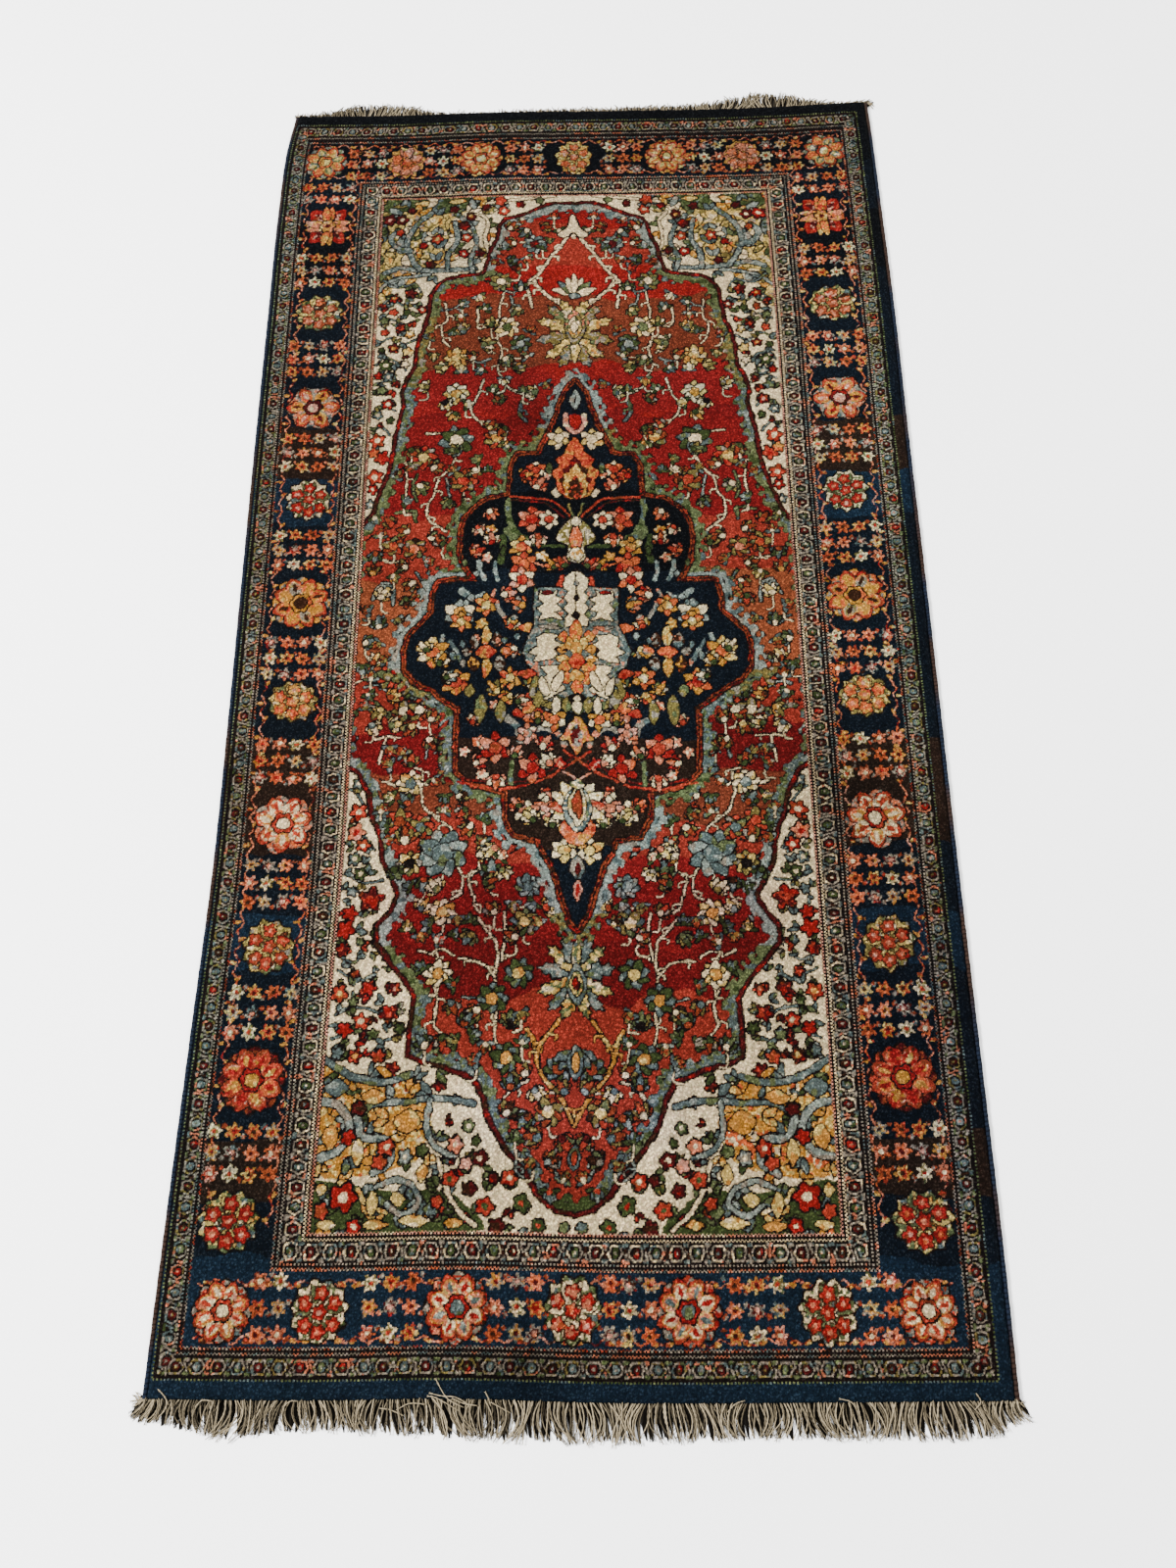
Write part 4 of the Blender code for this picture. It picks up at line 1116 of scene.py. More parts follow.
def linear(colour):
    """A colour of 0 to 255 as the light that it reflects."""
    share = np.asarray(colour, float) / 255
    return np.where(share <= 0.04045, share / 12.92, ((share + 0.055) / 1.055) ** 2.4)


def dye_bands(bands, wander_mm, seed):
    """The dye of each knot: every dye reaches down to its place, and the change wanders a little."""
    place = knot_y + wander_mm * soft_noise(70, seed) + 0.4 * wander_mm * soft_noise(18, seed + 1)
    colours = np.zeros((*plan.shape, 3))
    done = np.zeros(plan.shape, bool)
    for reach, dye in bands + [(-1e6, bands[-1][1])]:
        here = (place >= reach) & ~done
        colours[here] = linear(DYES[dye])
        done |= here
    return colours


yarn_colours = np.array([linear(colour) for colour in YARNS.values()])
knot_light = yarn_colours[plan]
# In passages of a few knots a yarn gives way to one near it in colour
NEAR_YARNS = dict(
    slate=("sage", "sky"), sky=("slate", "grey"), sage=("moss", "slate"), olive=("grey", "sage"),
    rust=("brick", "brown"), brick=("rust", "crimson"), salmon=("pink", "orange"), pink=("salmon", "cream"),
    orange=("gold", "brick"), gold=("yellow", "mustard"), mustard=("gold", "orange"),
    yellow=("gold", "cream"), grey=("slate", "salmon"), maroon=("brown", "crimson"),
)
passage = soft_noise(9, 71)
PASSAGE_LEVEL = 0.5
for name, (first, second) in NEAR_YARNS.items():
    own = plan == YARN_NUMBER[name]
    knot_light[own & (passage > PASSAGE_LEVEL)] = yarn_colours[YARN_NUMBER[first]]
    knot_light[own & (passage < -PASSAGE_LEVEL)] = yarn_colours[YARN_NUMBER[second]]
red_part = plan == YARN_NUMBER["red"]
knot_light[red_part] = dye_bands(RED_BANDS, 16, 31)[red_part]
navy_part = plan == YARN_NUMBER["navy"]
knot_light[navy_part] = dye_bands(NAVY_BANDS, 10, 41)[navy_part]
navy_part &= in_field
knot_light[navy_part] = dye_bands(MEDALLION_BANDS, 6, 43)[navy_part]
# Each batch and each knot of wool takes the dye a little more or a little less
batch = 1 + 0.10 * soft_noise(110, 51) + 0.07 * soft_noise(26, 52)
single = 1 + 0.12 * np.kron(weaver.standard_normal((KNOTS_ALONG, KNOTS_ACROSS)), np.ones((2, 2)))
knot_light *= np.clip(batch * single, 0.5, 1.6)[..., None]
knot_light *= 1 + 0.04 * weaver.standard_normal((*plan.shape, 3))
# Feet and air have dulled it: a little grey in every colour. Then darker patches, each with its place, reach
# and depth
DULLING = 0.13
knot_light = (1 - DULLING) * knot_light + DULLING * knot_light.mean(axis=2, keepdims=True)
for x, y, reach, depth in [
    (770, 700, 75, 0.3), (800, 620, 60, 0.25), (405, 26, 55, 0.35), (560, 1010, 60, 0.2),
    (385, 1232, 38, 0.4),
]:
    away = np.hypot(knot_x - x, knot_y - y) + 12 * soft_noise(26, 52)
    knot_light *= 1 - depth * np.exp(-(away / reach) ** 2)[..., None]
# Broad parts, some made lighter and some darker, with their hue shifted: place, reach across and along, share
# of each colour
for x, y, across, along, share in [
    (840, 1150, 70, 480, (1.12, 1.26, 1.30)), (840, 310, 70, 200, (0.82, 0.88, 1.0)),
    (60, 1470, 70, 220, (0.87, 0.96, 1.0)), (60, 310, 70, 200, (0.89, 1.0, 1.04)),
    (450, 1720, 480, 42, (0.78, 0.92, 1.0)), (235, 1565, 80, 80, (0.85, 0.87, 0.9)),
    (470, 820, 190, 300, (1.05, 1.15, 1.21)), (450, 880, 62, 90, (0.94, 0.86, 0.78)),
    (320, 520, 110, 42, (0.80, 0.70, 0.78)), (580, 520, 110, 42, (0.80, 0.70, 0.78)),
    (315, 1285, 110, 45, (0.80, 0.92, 1.02)), (585, 1285, 110, 45, (0.80, 0.92, 1.02)),
    (240, 730, 80, 34, (1.20, 1.08, 1.15)), (450, 295, 120, 50, (1.08, 1.10, 1.3)),
]:
    nearness = np.exp(-((knot_x - x) / across) ** 4 - ((knot_y - y) / along) ** 4)
    knot_light *= 1 + nearness[..., None] * (np.array(share) - 1)
# Cut pile swallows light between its fibres, blue light and the light of dark yarns most
PILE_DEPTH = 1.27
PILE_GIVES = np.array([0.56, 0.52, 0.45])
knot_light = np.clip(knot_light ** PILE_DEPTH * PILE_GIVES, 0.0005, 0.9)


# Pile panels: the wool pile, one small face for each knot, on a flat woven underside. It is modelled as five
# panels that meet along the rows of knots, and it follows the slightly bowed sides and ends of the rug.
SIDE_BOWS = [  # share of the length, then how far the left and right sides stand out, in mm
    (0.0, 6, 1), (0.070, 4, 2), (0.215, -1, 1), (0.320, -5, 0), (0.430, -3, 0), (0.535, 0, 0),
    (0.645, 3, -1), (0.785, 6, -1), (0.895, 8, -4), (0.965, 5, -6), (1.0, -3, -8),
]
END_BOWS = [  # share of the width, then how far the front and back ends stand out, in mm
    (0.0, -1, 2), (0.22, 0, -1), (0.33, -2, 1), (0.55, 2, -2), (0.77, 1, -4), (1.0, -1, 3),
]
SIDE_STATIONS, END_STATIONS = 33, 17
RUG_WIDTH = 910.0
SIDE_INSET = 6.3
PANELS = 5
PILE_HEIGHT = 9.0
# The last few knots at every edge slope down, by this much in mm
EDGE_KNOTS, EDGE_FALL = 3, 3.2
TUFT_SWAY = 0.4
UNDERSIDE_HEIGHT_M = 0.0003


def smooth_table(rows, column, at):
    """A column of a table at places between its rows, on a smooth curve through them."""
    places = np.array([row[0] for row in rows], float)
    values = np.array([row[column] for row in rows], float)
    slopes = np.gradient(values, places)
    first = np.clip(np.searchsorted(places, at) - 1, 0, len(rows) - 2)
    span = places[first + 1] - places[first]
    t = (at - places[first]) / span
    rise = values[first + 1] - values[first]
    ease = t * t * (3 - 2 * t)
    start_pull = t * (1 - t) ** 2 * span * slopes[first]
    end_pull = t * t * (t - 1) * span * slopes[first + 1]
    return values[first] + rise * ease + start_pull + end_pull


def end_line(column, across):
    """How far an end stands out, straight between the stations of the CAD body."""
    stations = np.linspace(0, 1, END_STATIONS)
    return np.interp(across, stations, smooth_table(END_BOWS, column, stations))


def rug_place(across, along, side_inset=SIDE_INSET):
    """A place on the rug from its shares of the width and length, in mm from the rug's own middle."""
    left = -RUG_WIDTH / 2 - smooth_table(SIDE_BOWS, 1, along) + side_inset
    right = RUG_WIDTH / 2 + smooth_table(SIDE_BOWS, 2, along) - side_inset
    front = -PILE_LENGTH / 2 - end_line(1, across)
    back = PILE_LENGTH / 2 + end_line(2, across)
    return left + (right - left) * across, front + (back - front) * along


def own_middle():
    """The middle of the knotted body's outline, in mm, before the CAD centres the whole rug."""
    up, across = np.linspace(0, 1, SIDE_STATIONS), np.linspace(0, 1, END_STATIONS)
    sides = [rug_place(np.full(SIDE_STATIONS, side), up) for side in (0.0, 1.0)]
    ends = [rug_place(across, np.full(END_STATIONS, end)) for end in (0.0, 1.0)]
    x = np.concatenate([places[0] for places in sides + ends])
    y = np.concatenate([places[1] for places in sides + ends])
    return np.array([x.min() + x.max(), y.min() + y.max()]) / 2


body_corners = np.array(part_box("rug_body"))
shift_x, shift_y = 1000 * body_corners[:, :2].mean(axis=0) - own_middle()


def to_frame(x, y, z):
    """Places in mm from the rug's own middle as points of the shared frame, in metres."""
    return np.stack([x + shift_x, y + shift_y, z], axis=-1) / 1000


def surface_height(across, along):
    """The pile's top, a little higher and lower where the rug has been walked on."""
    long_wave = np.sin(2 * np.pi * (1.3 * along + 0.2 * across))
    short_wave = np.sin(2 * np.pi * (3.1 * across + 2.3 * along))
    return PILE_HEIGHT + 0.24 * long_wave + 0.16 * short_wave


def pile_grid():
    """The corners of all knots: row by row, with each tuft's own height and lean."""
    across, along = np.meshgrid(np.linspace(0, 1, KNOTS_ACROSS + 1), np.linspace(0, 1, KNOTS_ALONG + 1))
    x, y = rug_place(across, along)
    worn = np.where(plan[::2, ::2] == YARN_NUMBER["ink"], -0.6, 0.0) + 0.6 * soft_noise(4.2, 61)[::2, ::2]
    worn += 0.42 * weaver.standard_normal(worn.shape)
    padded = np.pad(worn, 1, mode="edge")
    height = surface_height(across, along) - 0.1
    height += (padded[:-1, :-1] + padded[:-1, 1:] + padded[1:, :-1] + padded[1:, 1:]) / 4
    rows, columns = np.indices(height.shape)
    from_edge = np.minimum.reduce([rows, columns, rows.max() - rows, columns.max() - columns])
    height -= EDGE_FALL * np.clip(1 - from_edge / EDGE_KNOTS, 0, 1) ** 1.7
    inside = from_edge > 0
    x += np.where(inside, weaver.uniform(-TUFT_SWAY, TUFT_SWAY, x.shape), 0)
    y += np.where(inside, weaver.uniform(-TUFT_SWAY, TUFT_SWAY, x.shape), 0)
    return to_frame(x, y, height)


def panel_mesh(name, corners, colours, first_row):
    """A closed mesh: a face for each knot on top, walls all round and a flat underside of long strips."""
    rows, columns = colours.shape[0] // 2, colours.shape[1] // 2
    across = columns + 1
    number = np.arange((rows + 1) * across).reshape(rows + 1, across)
    quads = np.stack([number[:-1, :-1], number[:-1, 1:], number[1:, 1:], number[1:, :-1]], axis=-1)
    quads = quads.reshape(-1, 4)
    ring = np.concatenate([number[0, :-1], number[:-1, -1], number[-1, :0:-1], number[:0:-1, 0]])
    top = corners.reshape(-1, 3)
    under = top[ring].copy()
    under[:, 2] = UNDERSIDE_HEIGHT_M
    base = len(top) + np.arange(len(ring))
    walls = np.stack([np.roll(ring, -1), ring, base, np.roll(base, -1)], axis=-1)
    front = base[:across]
    right = base[across - 1:across + rows]
    back = base[across - 1 + rows:2 * across - 1 + rows][::-1]
    left = np.append(base[2 * across - 2 + rows:], base[0])[::-1]
    strips = np.stack([front[1:-2], back[1:-2], back[2:-1], front[2:-1]], axis=-1)
    half = rows // 2
    fans = []
    for edge, near, far, turn in ((left, front[1], back[1], 1), (right, front[-2], back[-2], -1)):
        for step in range(rows):
            corner = near if step < half else far
            fans.append([edge[step], edge[step + 1], corner][::turn])
        fans.append([near, edge[half], far][::turn])
    vertices = np.vstack([top, under])
    faces = quads.tolist() + walls.tolist() + strips.tolist() + fans
    mesh = bpy.data.meshes.new(name)
    mesh.from_pydata(vertices.tolist(), [], faces)
    ends = [colours[::2, ::2], colours[::2, 1::2], colours[1::2, 1::2], colours[1::2, ::2]]
    near = ends[0]
    outer = np.concatenate([near[0], near[:, -1], near[-1, ::-1], near[::-1, 0]])
    corner_colours = np.ones((len(mesh.loops), 4), np.float32)
    top_loops = 4 * len(quads)
    wall_loops = slice(top_loops, top_loops + 4 * len(walls))
    corner_colours[:top_loops, :3] = np.stack(ends, axis=2).reshape(-1, 3)
    corner_colours[wall_loops, :3] = np.repeat(outer, 4, axis=0)
    layer = mesh.color_attributes.new("knot_colour", "FLOAT_COLOR", "CORNER")
    layer.data.foreach_set("color", corner_colours.ravel())
    u, v = np.meshgrid(np.arange(columns), np.arange(rows) + first_row)
    grid = np.zeros((len(mesh.loops), 2), np.float32)
    step = np.array([[0, 0], [1, 0], [1, 1], [0, 1]])
    grid[:top_loops] = (np.stack([u, v], axis=-1).reshape(-1, 1, 2) + step).reshape(-1, 2)
    loop_vertex = np.zeros(len(mesh.loops), np.int32)
    mesh.loops.foreach_get("vertex_index", loop_vertex)
    grid[top_loops:] = vertices[loop_vertex[top_loops:], :2] * 1000 / KNOT
    grid[wall_loops, 1] += vertices[loop_vertex[wall_loops], 2] * 1000 / KNOT
    mesh.uv_layers.new(name="knot_grid").data.foreach_set("uv", grid.ravel())
    material_numbers = np.zeros(len(faces), np.int32)
    material_numbers[len(quads) + len(walls):] = 1
    mesh.polygons.foreach_set("material_index", material_numbers)
    smooth = np.zeros(len(faces), bool)
    smooth[:len(quads)] = True
    mesh.polygons.foreach_set("use_smooth", smooth)
    return mesh


def node_group(name, inputs, outputs):
    """A shader group with named sockets: colours and values in, colours, masks or normals out."""
    group = bpy.data.node_groups.new(name, "ShaderNodeTree")
    for direction, sockets in (("INPUT", inputs), ("OUTPUT", outputs)):
        for label, kind, value in sockets:
            socket = group.interface.new_socket(name=label, in_out=direction, socket_type=kind)
            if value is not None:
                socket.default_value = value
    return group, group.nodes.new("NodeGroupInput"), group.nodes.new("NodeGroupOutput")


def add_node(tree, kind, inputs=None, **settings):
    """Adds a node, gives its settings, and links or sets its inputs."""
    node = tree.nodes.new(kind)
    for key, value in settings.items():
        setattr(node, key, value)
    for key, value in (inputs or {}).items():
        if isinstance(value, bpy.types.NodeSocket):
            tree.links.new(value, node.inputs[key])
        else:
            node.inputs[key].default_value = value
    return node


def reckon(tree, operation, *values):
    """One step of arithmetic on shader values."""
    return add_node(tree, "ShaderNodeMath", dict(enumerate(values)), operation=operation).outputs[0]


def cloud(tree, place, scale, detail, roughness=0.5):
    """Soft uneven values over the surface, about 0.5 on average."""
    values = {"Vector": place, "Scale": scale, "Detail": detail, "Roughness": roughness}
    return add_node(tree, "ShaderNodeTexNoise", values).outputs["Fac"]


def spread(tree, value, low, high, to_low=0.0, to_high=1.0, **settings):
    """A value spread from one span to another."""
    values = {"Value": value, "From Min": low, "From Max": high, "To Min": to_low, "To Max": to_high}
    return add_node(tree, "ShaderNodeMapRange", values, **settings).outputs[0]


def shaded(tree, colour, share):
    """A colour made lighter or darker."""
    return add_node(tree, "ShaderNodeVectorMath", {0: colour, "Scale": share}, operation="SCALE").outputs[0]


def mixed(tree, share, first, second):
    """Two colours mixed by a share."""
    values = {"Factor": share, "A": first, "B": second}
    return add_node(tree, "ShaderNodeMix", values, data_type="RGBA").outputs["Result"]


def make_wool_group():
    """Spun wool: fibres and uneven dye, with the broad lighter and darker patches of a brushed pile as
    painted sheen and shade, on any base colour.
    """
    group, entry, exit_node = node_group(
        "spun wool",
        [("Colour", "NodeSocketColor", (0.5, 0.5, 0.5, 1)), ("Unevenness", "NodeSocketFloat", 0.15),
         ("Fibre bump", "NodeSocketFloat", 0.4), ("Lift", "NodeSocketFloat", 0.0)],
        [("Colour", "NodeSocketColor", None), ("Normal", "NodeSocketVector", None)],
    )
    place = add_node(group, "ShaderNodeTexCoord").outputs["Object"]
    fibres = cloud(group, place, 1400.0, 2.0, 0.7)
    # Painted sheen and shade: broad lighter and darker patches where the pile is brushed in different
    # directions
    lay_sheen_and_shade = cloud(group, place, 11.0, 3.0, 0.6)
    patches = cloud(group, place, 120.0, 3.0, 0.6)
    clouds = reckon(group, "ADD", reckon(group, "ADD", lay_sheen_and_shade, patches), fibres)
    centred = reckon(group, "ADD", clouds, -1.5)
    share = reckon(group, "MULTIPLY_ADD", centred, entry.outputs["Unevenness"], 1.0)
    group.links.new(shaded(group, entry.outputs["Colour"], share), exit_node.inputs["Colour"])
    height = reckon(group, "MULTIPLY_ADD", fibres, 0.35, entry.outputs["Lift"])
    bump = add_node(group, "ShaderNodeBump", {"Strength": entry.outputs["Fibre bump"], "Distance": 0.0011,
                                             "Height": height})
    group.links.new(bump.outputs[0], exit_node.inputs["Normal"])
    return group


wool_group = make_wool_group()


def fibre_material(name, roughness, sheen, unevenness, fibre_bump):
    """A material of spun fibres: its tree, and its wool group, which still lacks a colour and a lift."""
    material = bpy.data.materials.new(name)
    material.use_nodes = True
    tree = material.node_tree
    shader = tree.nodes["Principled BSDF"]
    shader.inputs["Roughness"].default_value = roughness
    shader.inputs["Specular IOR Level"].default_value = 0.03
    shader.inputs["Sheen Weight"].default_value = sheen
    shader.inputs["Sheen Roughness"].default_value = 0.45
    shader.inputs["Sheen Tint"].default_value = (1.0, 0.93, 0.84, 1)
    wool = add_node(tree, "ShaderNodeGroup", node_tree=wool_group)
    wool.inputs["Unevenness"].default_value = unevenness
    wool.inputs["Fibre bump"].default_value = fibre_bump
    tree.links.new(wool.outputs["Colour"], shader.inputs["Base Color"])
    tree.links.new(wool.outputs["Normal"], shader.inputs["Normal"])
    return material, tree, wool


def make_pile_material():
    """Cut pile in the knots' own colours, in clumps of tufts with painted shade between them and painted
    highlights at the tips.
    """
    material, tree, wool = fibre_material("knotted_wool_pile", 0.95, 0.0, 0.6, 0.9)
    dyed = add_node(tree, "ShaderNodeAttribute", attribute_name="knot_colour").outputs["Color"]
    grid = add_node(tree, "ShaderNodeUVMap", uv_map="knot_grid").outputs["UV"]
    clump = add_node(tree, "ShaderNodeTexVoronoi", {"Vector": grid, "Scale": 0.62, "Randomness": 0.9})
    tuft = spread(tree, clump.outputs["Distance"], 0.12, 0.66, 1.0, 0.0, interpolation_type="SMOOTHSTEP")
    laid = add_node(tree, "ShaderNodeVectorMath", {0: grid, 1: (1.9, 0.75, 1.0)}, operation="MULTIPLY")
    strand = cloud(tree, laid.outputs[0], 1.0, 4.0, 0.75)
    lift = reckon(tree, "MULTIPLY_ADD", strand, 3.2, tuft)
    # Painted light and shade: each clump of tufts darker at its edges and lighter on its top, by its height
    body = shaded(tree, dyed, spread(tree, lift, 1.1, 2.9, 0.25, 1.5))
    # Painted highlight: the tips of the highest tufts turn to a much lighter copy of the knot's colour
    painted_tip_highlight = add_node(tree, "ShaderNodeVectorMath", {0: dyed, 1: (2.1, 2.05, 1.9), 2: (0.008, 0.008, 0.007)},
                     operation="MULTIPLY_ADD")
    tips = spread(tree, lift, 2.2, 3.3)
    tree.links.new(mixed(tree, tips, body, painted_tip_highlight.outputs[0]), wool.inputs["Colour"])
    tree.links.new(lift, wool.inputs["Lift"])
    return material


def make_underside_material():
    """The back of the weave: flat, in fine ribs, with the yarns mixed to a dull red brown."""
    material, tree, wool = fibre_material("woven_underside", 0.85, 0.1, 0.6, 0.4)
    place = add_node(tree, "ShaderNodeTexCoord").outputs["Object"]
    weave = {"Vector": place, "Scale": 80.0, "Distortion": 0.6, "Detail": 1.0}
    ribs = add_node(tree, "ShaderNodeTexWave", weave, bands_direction="Y")
    yarns = mixed(tree, cloud(tree, place, 26.0, 4.0), (0.035, 0.03, 0.045, 1), (0.24, 0.08, 0.05, 1))
    tree.links.new(yarns, wool.inputs["Colour"])
    tree.links.new(ribs.outputs["Fac"], wool.inputs["Lift"])
    return material


def build_pile():
    corners = pile_grid()
    cuts = np.linspace(0, KNOTS_ALONG, PANELS + 1).round().astype(int)
    pile, underside = make_pile_material(), make_underside_material()
    panels = []
    for number, (first, last) in enumerate(zip(cuts[:-1], cuts[1:])):
        name = f"pile_panel_{number + 1}"
        mesh = panel_mesh(name, corners[first:last + 1], knot_light[2 * first:2 * last], first)
        mesh.materials.append(pile)
        mesh.materials.append(underside)
        panel = bpy.data.objects.new(name, mesh)
        bpy.context.scene.collection.objects.link(panel)
        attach(panel, "root")
        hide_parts("rug_body")
        panels.append(panel)
    return panels


pile_panels = build_pile()


# Side cords: bundled warps along both long sides, overcast with navy wool that turns brown where the dye lot
# changes. They are modelled in the same five lengths as the pile.
CORD_RADIUS = 2.9
CORD_SIDES = 10
CORD_STEP = 3.6
WRAP_PITCH = 2.6


def length_along(line):
    """How far each point of a line lies from its start, measured along it."""
    steps = np.linalg.norm(np.diff(line, axis=0), axis=1)
    return np.concatenate([[0], np.cumsum(steps)])


def tube_faces(rings, sides, base=0):
    """The faces of a closed tube: its walls, and one face at each end."""
    number = base + np.arange(rings * sides).reshape(rings, sides)
    onward = np.roll(number, -1, axis=1)
    walls = np.stack([number[:-1], onward[:-1], onward[1:], number[1:]], axis=-1).reshape(-1, 4)
    return walls.tolist() + [number[0, ::-1].tolist(), number[-1].tolist()]


def cord_mesh(name, centre, radius):
    """A closed tube round a line of points in mm, with a map that counts its wraps."""
    rings = len(centre)
    forward = np.gradient(centre, axis=0)
    forward /= np.linalg.norm(forward, axis=1)[:, None]
    side = np.cross(forward, [0.0, 0.0, 1.0])
    angles = np.linspace(0, 2 * np.pi, CORD_SIDES, endpoint=False)
    points = (centre[:, None] + radius[:, None, None] * (np.cos(angles)[:, None] * side[:, None]
              + np.sin(angles)[:, None] * np.array([0.0, 0.0, 1.0])))
    places = to_frame(points[..., 0], points[..., 1], points[..., 2]).reshape(-1, 3)
    mesh = bpy.data.meshes.new(name)
    mesh.from_pydata(places.tolist(), [], tube_faces(rings, CORD_SIDES))
    around = np.arange(CORD_SIDES + 1) / CORD_SIDES
    v = length_along(centre) / WRAP_PITCH
    uv = np.zeros((rings - 1, CORD_SIDES, 4, 2))
    uv[..., 0] = np.stack([around[:-1], around[1:], around[1:], around[:-1]], axis=-1)
    uv[..., 1] = np.stack([v[:-1], v[:-1], v[1:], v[1:]], axis=-1)[:, None]
    whole = np.zeros((len(mesh.loops), 2))
    whole[:uv.size // 2] = uv.reshape(-1, 2)
    mesh.uv_layers.new(name="wraps").data.foreach_set("uv", whole.astype(np.float32).ravel())
    mesh.shade_smooth()
    mesh.set_sharp_from_angle(angle=math.radians(50))
    return mesh


def make_cord_material():
    """Overcast wool: slanting wraps with painted shade in the gaps and painted light on the ridges, navy with
    brown lengths.
    """
    material, tree, wool = fibre_material("overcast_navy_wool", 0.9, 0.02, 0.9, 0.7)
    place = add_node(tree, "ShaderNodeTexCoord").outputs["Object"]
    wraps = add_node(tree, "ShaderNodeUVMap", uv_map="wraps").outputs["UV"]
    split = add_node(tree, "ShaderNodeSeparateXYZ", {0: wraps})
    slant = reckon(tree, "ADD", split.outputs["X"], split.outputs["Y"])
    turn = reckon(tree, "PINGPONG", slant, 1.0)
    ridge = spread(tree, turn, 0.0, 0.55, interpolation_type="SMOOTHSTEP")
    changed = spread(tree, cloud(tree, place, 7.0, 1.0), 0.5, 0.58)
    dyed = mixed(tree, changed, (0.004, 0.006, 0.011, 1), (0.014, 0.008, 0.006, 1))
    # Painted shade and light: each wrap darker in its gaps and lighter on its ridge
    wraps_with_painted_shade = shaded(tree, dyed, spread(tree, ridge, 0.0, 1.0, 0.45, 1.25))
    tree.links.new(wraps_with_painted_shade, wool.inputs["Colour"])
    tree.links.new(ridge, wool.inputs["Lift"])
    return material


def build_side_cords():
    material = make_cord_material()
    cuts = np.linspace(0, KNOTS_ALONG, PANELS + 1).round() / KNOTS_ALONG
    for side, across in (("left", 0.0), ("right", 1.0)):
        for number, (first, last) in enumerate(zip(cuts[:-1], cuts[1:])):
            along = np.linspace(first, last, round((last - first) * PILE_LENGTH / CORD_STEP) + 1)
            x, y = rug_place(np.full(along.shape, across), along, side_inset=CORD_RADIUS + 0.1)
            radius = CORD_RADIUS + 0.1 * np.sin(along * 310) + 0.08 * np.sin(along * 811)
            mesh = cord_mesh(f"cord_{side}_{number + 1}", np.column_stack([x, y, radius]), radius)
            mesh.materials.append(material)
            length = bpy.data.objects.new(mesh.name, mesh)
            bpy.context.scene.collection.objects.link(length)
            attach(length, "root")
            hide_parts(f"selvedge_{side}")


build_side_cords()


# Fringes: the cotton warps that come out of the weave at both ends, twisted in pairs and cut. They lie in
# crossing layers, splayed out at the corners, pale on top and darker underneath as painted shade.
# Share of the width, then how far the strands reach out and how far they lean to the right, in mm
FRONT_FRINGE = [
    (0.0, 20, -12), (0.04, 28, -8), (0.09, 37, -5), (0.20, 31, 1), (0.30, 36, 7), (0.40, 40, 2),
    (0.55, 40, 4), (0.70, 36, 4), (0.85, 37, 5), (0.96, 33, 7), (1.0, 18, 11),
]
BACK_FRINGE = [
    (0.0, 9, -2), (0.05, 14, 0), (0.12, 31, 2), (0.18, 28, 3), (0.24, 13, 1), (0.30, 6, 0), (0.40, 9, 0),
    (0.60, 14, 0), (0.72, 20, 3), (0.80, 38, 6), (0.86, 31, 5), (0.92, 12, 4), (0.97, 8, 8), (1.0, 8, 14),
]
STRANDS_IN_LAYER = 152
# Each layer's lowest and highest middle in mm, and how pale it is, the lower layers darker as painted shade
FRINGE_LAYERS = [(1.7, 2.3, 0.3), (2.3, 3.0, 0.6), (3.0, 3.8, 0.85), (3.8, 4.8, 1.0)]
# Flat, nearly black locks under the strands: matted short ends, and painted shadow in the gaps between
# strands
MATTED_SHADOW_LOCKS = 240
MOST_RINGS, LOCK_RINGS = 9, 5
PLY_SIDES = 3
TWIST_PITCH = 9.0
LOCK_FLATNESS = 0.12
# Strands start this far inside the pile's edge
ROOT_DEPTH = 1.6
# Strays that lie across the front end's navy pile: their places in mm from the left edge and the front end
STRAYS = [
    [(30, -9), (26, -1), (18, 6)], [(58, -11), (66, -4), (78, -5)], [(268, -14), (282, -8), (300, -9)],
    [(338, -12), (322, -4), (314, 6), (308, 16)], [(344, -10), (330, -2), (316, -1), (302, 2)],
    [(334, -16), (320, -8), (308, -2), (300, -1)], [(352, -10), (338, -8), (326, -3)],
    [(366, -10), (364, -3), (360, 4)], [(276, -20), (262, -14), (250, -12)],
    [(386, -16), (374, -10), (366, -6)], [(610, -12), (618, -4), (628, -1)],
    [(742, -11), (736, -3), (724, 0)], [(150, -10), (158, -4), (166, -4)], [(862, -12), (868, -4), (864, 4)],
]
# Strands that splay round the corners: where they start, and how far they reach to the right and outward
CORNER_STRANDS = [
    ("front", 4, -15, 3), ("front", 3, -16, -3), ("front", 5, -15, -9), ("front", 7, -14, -14),
    ("front", 10, -13, -18), ("front", 4, -12, 6), ("front", 13, -12, -22), ("front", 16, -11, -25),
    ("front", 6, -16, -6), ("front", 905, 10, -6), ("front", 903, 9, -13), ("front", 899, 10, -19),
    ("front", 894, 9, -24), ("front", 906, 9, -1), ("back", 904, 17, -4), ("back", 903, 16, 2),
    ("back", 905, 14, -10), ("back", 900, 15, 6), ("back", 902, 18, -1), ("back", 5, -5, 7),
    ("back", 8, -3, 10), ("back", 3, -6, 3),
]
cotton_worker = np.random.default_rng(17)


